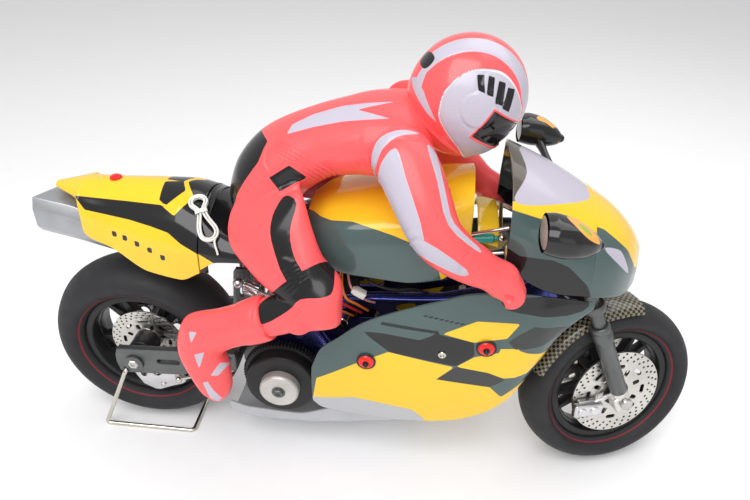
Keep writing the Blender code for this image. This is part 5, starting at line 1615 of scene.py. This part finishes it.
BACK_STAR = [(109, 185), (111, 191), (122, 197), (138, 202), (167, 205), (147, 199), (165, 194), (140, 192),
             (124, 189)]
HIP_DIAMOND = [(101, 161), (112, 168), (121, 163), (107, 154)]
SUIT_REAR = [(98, 181), (94, 169), (81, 152), (75, 138), (75, 123), (86, 105), (97, 95), (60, 95),
             (50, 190),
             (90, 190)]
THIGH_STRIPE = [(111, 152), (118, 148), (116, 133), (119, 120), (124, 112), (124, 107), (115, 107),
                (106, 127),
                (105, 138), (107, 146)]
KNEE = [(118, 108), (127, 114), (135, 118), (140, 115), (141, 103), (136, 99), (124, 97), (117, 90),
        (103, 81),
        (98, 85), (98, 90), (106, 98)]
CRESCENT = [(158, 164), (158, 174), (162, 182), (172, 186), (181, 185), (170, 182), (163, 175), (160, 166)]
UPPER_ARM = [(162, 159), (163, 168), (170, 176), (176, 162), (187, 133), (179, 130), (166, 151)]
FOREARM = [(180, 130), (186, 133), (209, 120), (206, 117), (188, 124)]
ARM_STRIP = [(185, 179), (190, 175), (196, 155), (201, 142), (215, 131), (213, 130), (198, 141), (191, 162)]
PLEATS = [(106, 177), (118, 170), (129, 165), (143, 161)]
KNEE_RIBS = [(114, 112), (118.5, 107), (122.5, 103)]


def suit_relief(points, normals):
    """Millimetres of ribs, seams and folds."""
    flat = slanted(points)
    sideways = 0.84 * np.sign(points[:, 1]) * normals[:, 1] + 0.54 * normals[:, 2]
    near = np.clip(2 * (sideways + 0.4), 0, 1)
    arm = np.minimum(away_from_tube(points, ARM), away_from_tube(points * (1, -1, 1), ARM)) < 1.6
    away, along = beside(flat, PLEATS)
    band = np.clip((5 - away) / 1.5, 0, 1) * ~arm * near
    lean = (flat - np.array(PLEATS[0])) @ np.array((0.42, 0.91))
    relief = 0.5 * band * np.cos(2 * math.pi * lean / 2)
    relief += ~arm * near * seam(flat, [(102, 183), (97, 176), (97, 168), (107, 154)],
                                 0.7, 0.5)
    for line in (HIP_DIAMOND + HIP_DIAMOND[:1], BACK_STAR + BACK_STAR[:1], THIGH_STRIPE + THIGH_STRIPE[:1]):
        relief += ~arm * near * seam(flat, line, 0.45, -0.25)
    for line in (UPPER_ARM + UPPER_ARM[:1], ARM_STRIP, FOREARM):
        relief += arm * near * seam(flat, line, 0.5, 0.3)
    relief += near * seam(flat, [(158, 162), (160, 170), (168, 181), (184, 182)], 0.8, -0.9)
    for k in range(3):
        inner = [(159.4 + 1.5 * k, 165), (160 + 1.4 * k, 172 - 0.4 * k), (164 + 1 * k, 178.6 - 0.8 * k),
                 (171 + 0.6 * k, 182.6 - 0.9 * k), (179, 184.4 - 0.8 * k)]
        relief += near * seam(flat, inner, 0.45, -0.3)
    away, along = beside(flat, KNEE_RIBS)
    relief += 0.35 * near * ~arm * np.clip((7.5 - away) / 2, 0, 1) * np.cos(2 * math.pi * along / 2.3)
    relief += arm * near * (seam(flat, [(178.5, 131.5), (183.5, 133), (188, 132)], 0.9, -0.7)
                            + seam(flat, [(177, 136), (183, 138.5)], 0.8, -0.4)
                            + seam(flat, [(190, 147), (196.5, 144), (200.5, 140.5)], 0.9, -0.5)
                            + seam(flat, [(211, 130.5), (207, 124), (206, 117.5)], 1, -0.6)
                            + seam(flat, [(224, 122.5), (220.5, 118), (219, 113.5)], 0.8, -0.6)
                            + seam(flat, [(229, 119), (226, 114.5), (224.5, 110)], 0.7, -0.4))
    relief += ~arm * near * (seam(flat, [(147, 166), (153, 172), (157, 180)], 2.6, -0.7)
                             + seam(flat, [(133, 168), (142, 176), (150, 181)], 3, -0.4)
                             + seam(flat, [(109, 152), (116, 155.5), (124, 157.5)], 1.6, -0.8))
    return relief


suit = sculpt(rider_body(), suit_relief)
suit_points = design(suit)
suit_flat = slanted(suit_points)
suit_near = 8 * (facing(suit) + 0.25)
arm_gap = np.minimum(away_from_tube(suit_points, ARM), away_from_tube(suit_points * (1, -1, 1), ARM))
on_torso = inside_any(suit_flat, [BACK_STAR, outline(CRESCENT, 3)])
on_arm = inside_any(suit_flat, [outline(ring, 3) for ring in (UPPER_ARM, FOREARM, ARM_STRIP)])
silver_torso = np.minimum(on_torso, suit_near)
silver_arm = np.minimum.reduce([on_arm, suit_near, 2.4 - arm_gap])
field(suit, "suit_silver", np.maximum(silver_torso, silver_arm))
dark_near = inside_any(suit_flat, [HIP_DIAMOND, outline(THIGH_STRIPE, 3), outline(KNEE, 3)])
dark = np.maximum(np.minimum(dark_near, suit_near), inside_by(suit_flat, SUIT_REAR))
field(suit, "suit_black", np.minimum(dark, arm_gap - 0.5))
vinyl = paint("vinyl", CORAL, 0.36, coat=0.22, vary=0.05, grain=(600, 0.03),
              layers=[("suit_silver", LILAC, 0.34), ("suit_black", BLACK, 0.2)])
show(suit, vinyl, "chassis", "rider_torso", "rider_arm_right", "rider_arm_left", "rider_leg_right",
     "rider_leg_left",
     slot="suit")

BOOT_SILVER = [[(58, 72), (63, 72), (59, 65)], [(60, 58), (66, 60), (62, 49)],
               [(68, 45), (73, 53), (77, 52), (72, 45)],
               [(63, 40), (66, 41), (69, 35), (73, 30), (70, 27), (66, 30)]]
CUFF = [(102, 95), (98, 90), (98, 84), (101, 80), (105, 79)]
CUFF_EDGE = [(100, 95), (96, 89), (96, 82), (101, 77), (110, 72)]


def boot_relief(points, normals):
    flat = slanted(points)
    relief = seam(flat, CUFF, 1, 0.6) + seam(flat, CUFF_EDGE, 0.6, -0.5)
    for ring in BOOT_SILVER:
        relief += seam(flat, ring + ring[:1], 0.6, 0.35)
    relief += seam(flat, [(52, 62), (58, 60), (66, 63)], 1.4, -0.6)
    relief += seam(flat, [(56, 47), (60, 44), (66, 43.5), (74, 44)], 1, -0.5)
    return relief + seam(flat, [(58.5, 36), (62, 30), (66.5, 24.5)], 0.8, -0.5)


for side, word in SIDES:
    foot = lofted("rider_foot_" + word, sided_rings(BOOT, -side))
    cuff_ring = lofted("rider_foot_" + word, sided_rings(BOOT_CUFF, -side))
    heel = limb("rider_foot_" + word, [((52.5, -57.2, 110), 5), ((53, -57.4, 100), 5.6),
                                       ((58, -58.2, 88), 5)], -side)
    foot = sculpt(fused([foot, cuff_ring, heel], "rider_foot_" + word, 1, 6), boot_relief)
    foot_near = 8 * (facing(foot) + 0.25)
    flat = slanted(design(foot))
    field(foot, "suit_silver", np.minimum(inside_any(flat, BOOT_SILVER),
                                          foot_near))
    field(foot, "suit_black", np.full(len(flat), -5))
    show(foot, vinyl, "chassis", "rider_boot_" + word, slot="suit")

# ---------------------------------------------------------------- helmet

SIDE_PANEL = [(28, -22), (70, -18), (104, -12), (113, -7), (119, 1), (119, 9), (115, 16), (104, 21),
              (86, 24),
              (63, 23), (42, 18), (32, 10)]
SLITS = [[(108, 17), (102, 19), (90, 13), (97, 12)], [(98, 20), (91, 21), (81, 14), (88, 13)],
         [(85, 21), (76, 22), (67, 13), (76, 12)], [(71, 21), (60, 22), (56, 12), (66, 12)]]
NECK_STRIP = [(170, -9), (158, -6), (138, -7), (107, -14), (120, -14), (155, -11)]
REAR_ARC = [(147, 9), (149, 0), (143, -7), (158, -6), (160, 8)]
TEARDROP = [(175, 0), (177, 6), (157, 8), (152, 4), (157, 0)]
DEGREE = 0.52                    # millimetres of helmet for a degree round it
VISOR_HALF = 72 * DEGREE
VISOR_LOW, VISOR_HIGH = -8, 9


def helmet_map(points):
    """Helmet points as (distance round from the front, height), and their distance from its middle."""
    d = points - np.array(HELMET_CENTRE)
    c, s = math.cos(HELMET_PITCH), math.sin(HELMET_PITCH)
    x, z = d[:, 0] * c - d[:, 2] * s, d[:, 0] * s + d[:, 2] * c
    around = np.degrees(np.arctan2(np.abs(d[:, 1]) / HELMET_RADII[1], x / HELMET_RADII[0]))
    return np.stack((around * DEGREE, z), axis=1), np.abs(d[:, 1])


def panel_field(flat):
    """Millimetres inside the silver side panel."""
    return inside_by(flat, outline(helmet_rings([SIDE_PANEL])[0], 4))


def visor_field(flat):
    """Millimetres inside the visor."""
    return np.minimum(VISOR_HALF - flat[:, 0], np.minimum(flat[:, 1] - VISOR_LOW, VISOR_HIGH - flat[:, 1]))


def helmet_rings(rings):
    return [[(a * DEGREE, z) for a, z in ring] for ring in rings]


def helmet_shell():
    """The shell as a fine oval ball with its neck opening rolled out."""
    steps, rings = 220, 150
    verts, faces = [], []
    turn = Matrix.Rotation(HELMET_PITCH, 3, "Y")
    for j in range(rings + 1):
        b = math.pi * j / rings
        for k in range(steps):
            a = 2 * math.pi * k / steps
            local = Vector((HELMET_RADII[0] * math.sin(b) * math.cos(a),
                            HELMET_RADII[1] * math.sin(b) * math.sin(a),
                            HELMET_RADII[2] * math.cos(b)))
            verts.append(tuple(HELMET_CENTRE + turn @ local))
    faces = [(j * steps + k, j * steps + (k + 1) % steps, (j + 1) * steps + (k + 1) % steps,
              (j + 1) * steps + k)
             for j in range(rings) for k in range(steps)]
    return smooth(weld(mesh_object("helmet_shell", verts, faces)), 60)


def helmet_relief(points, normals):
    flat, side = helmet_map(points)
    panel = panel_field(flat)
    visor = visor_field(flat)
    relief = 0.5 * np.clip(panel / 0.8, 0, 1) - 0.9 * np.clip(visor / 0.6, 0, 1)
    relief += 0.45 * np.exp(-((visor + 0.6) / 0.5) ** 2)
    slots = inside_any(flat, helmet_rings(SLITS))
    relief -= 0.35 * np.clip(slots / 1, 0, 1)
    disc = np.hypot(flat[:, 0] - 84 * DEGREE, flat[:, 1] - 4.8)
    relief += 0.35 * np.clip((9 - disc) / 0.5, 0, 1) - 0.3 * np.exp(-((disc - 9.6) / 0.35) ** 2)
    for lean in (0, 2):
        relief += seam(flat, [((104 - lean) * DEGREE, 21), ((97 - lean) * DEGREE, 4),
                              ((82 - lean) * DEGREE, -16)],
                       0.35, -0.3)
    crown = np.minimum(side - 6, 15 - side)
    upper = (flat[:, 1] > 8) & (panel < 0)
    relief += 0.3 * np.clip(crown / 0.5, 0, 1) * upper
    relief += 0.8 * np.exp(-((flat[:, 1] + 21 + 2 * np.cos(np.radians(flat[:, 0] / DEGREE))) / 1) ** 2)
    return relief


helmet = sculpt(helmet_shell(), helmet_relief)
flat, side_gap = helmet_map(design(helmet))
panel_inside = panel_field(flat)
visor_inside = visor_field(flat)
slot_inside = inside_any(flat, helmet_rings(SLITS))
strips = inside_any(flat, helmet_rings([NECK_STRIP, REAR_ARC]))
crown_band = np.minimum.reduce([side_gap - 6, 15 - side_gap, flat[:, 1] - 8, -panel_inside - 1.4])
silver_part = np.minimum(np.maximum.reduce([panel_inside, strips, crown_band]), -visor_inside - 1.1)
drop = inside_by(flat, outline(helmet_rings([TEARDROP])[0], 4))
field(helmet, "helmet_silver", silver_part)
field(helmet, "helmet_rim", 0.35 - np.abs(panel_inside + 0.15))
field(helmet, "helmet_black", np.maximum.reduce([visor_inside, slot_inside, drop]))
show(helmet, paint("helmet_paint", CORAL, 0.2, coat=0.5, vary=0.04, grain=(260, 0.01),
                   layers=[("helmet_silver", LILAC, 0.28), ("helmet_rim", (0.75, 0.72, 0.76), 0.3),
                           ("helmet_black", BLACK, 0.1)]),
     "chassis", "rider_helmet", slot="helmet")

# ---------------------------------------------------------------- wires and small parts

WIRE_RUNS = [("orange_wire", [(104, -27, 131), (99, -28, 138), (94, -27, 146), (90, -25, 152)], 0.65),
             ("red_wire", [(106, -26, 130), (101, -27, 136), (96, -26, 143), (93, -24, 150)], 0.65),
             ("pink_wire", [(110, -25, 128), (106, -26, 134), (102, -26, 141), (100, -24, 148)], 0.65),
             ("brown_wire", [(103, -25, 133), (97, -26, 140), (92, -25, 149)], 0.6),
             ("orange_wire", [(140, -23, 150), (141, -31, 144), (144, -33, 136), (150, -29, 129),
                              (156, -24, 121)], 0.8),
             ("red_wire", [(138, -22, 149), (138, -30, 143), (140, -33, 134), (146, -30, 127),
                           (152, -24, 119)], 0.8),
             ("pink_wire", [(143, -23, 150), (146, -30, 143), (151, -31, 137), (156, -27, 131),
                            (160, -22, 126)], 0.7),
             ("orange_wire", [(134, -22, 146), (132, -29, 140), (134, -32, 132), (141, -30, 124),
                              (147, -24, 116)], 0.7),
             ("black_wire", [(150, -20, 148), (158, -26, 144), (170, -26, 140), (184, -22, 138),
                             (196, -14, 130)], 0.9),
             ("red_wire", [(84, -16, 86), (79, -20, 92), (74, -21, 98), (70, -19, 106)], 0.7)]
for k, (look, run, radius) in enumerate(WIRE_RUNS):
    show(solid_tube("harness_%d" % k, run, radius, smoothing=8), look, "chassis")

plug = joined([block("harness_plug", (151.5, -30, 138.6), (7.6, 5, 4.2), 0.6, Matrix.Rotation(0.5, 4, "Y")),
               block("harness_plug", (147.8, -30.4, 140.6), (2, 4, 3.2), 0.4,
                     Matrix.Rotation(0.5, 4, "Y"))],
              "harness_plug")
show(plug, "white", "chassis")
controller = joined([block("speed_controller", (156, 0, 141), (30, 24, 9), 1)]
                    + [block("speed_controller", (146 + 2.9 * k, 0, 147.2), (1.1, 21, 4),
                             0.3) for k in range(8)],
                    "speed_controller")
show(controller, "plastic", "chassis")

tie_rods = [rod("steering_links", (207, -26, 180.6), (233, -30, 190.6), 1),
            rod("steering_links", (208, -22, 166), (246, -22, 171), 1)]
show(joined(tie_rods, "steering_links"), "chrome", "chassis")
damper = turned("steering_damper", [(0, 0), (2.2, 0), (2.7, 0.6), (2.7, 11), (2.2, 11.6), (1.5, 11.8),
                                    (1.5, 13.6), (0, 13.6)], (214.6, -24, 178.6),
                toward((12, 0, 1.2)), 32)
show(damper, "teal", "chassis")
show(joined([ball("damper_joint", (230.4, -24, 180.4), 2.5),
             rod("damper_joint", (228, -24, 180), (231, -24, 180.4), 1.2)], "damper_joint"),
     "chrome", "chassis")
show(joined([rod("nose_posts", (233.4, side * 26, 177), (235.8, side * 26, 158), 1.3) for side in (-1, 1)],
            "nose_posts"), "brass", "chassis")
standoffs = [rod("frame_spacers", (x, -16.4, z), (x, 16.4, z), 2) for x, z in ((98, 94), (146, 66),
                                                                                  (133, 123), (246, 134))]
show(joined(standoffs, "frame_spacers"), "aluminium", "chassis")
rear_frame = joined([block("rear_carrier", (88, side * 14.5, 146), (6, 4, 20), 1,
                           Matrix.Rotation(-0.35, 4, "Y")) for side in (-1, 1)]
                    + [block("rear_carrier", (83, 0, 151), (24, 32, 5), 1.2)], "rear_carrier")
show(rear_frame, "plastic", "chassis")
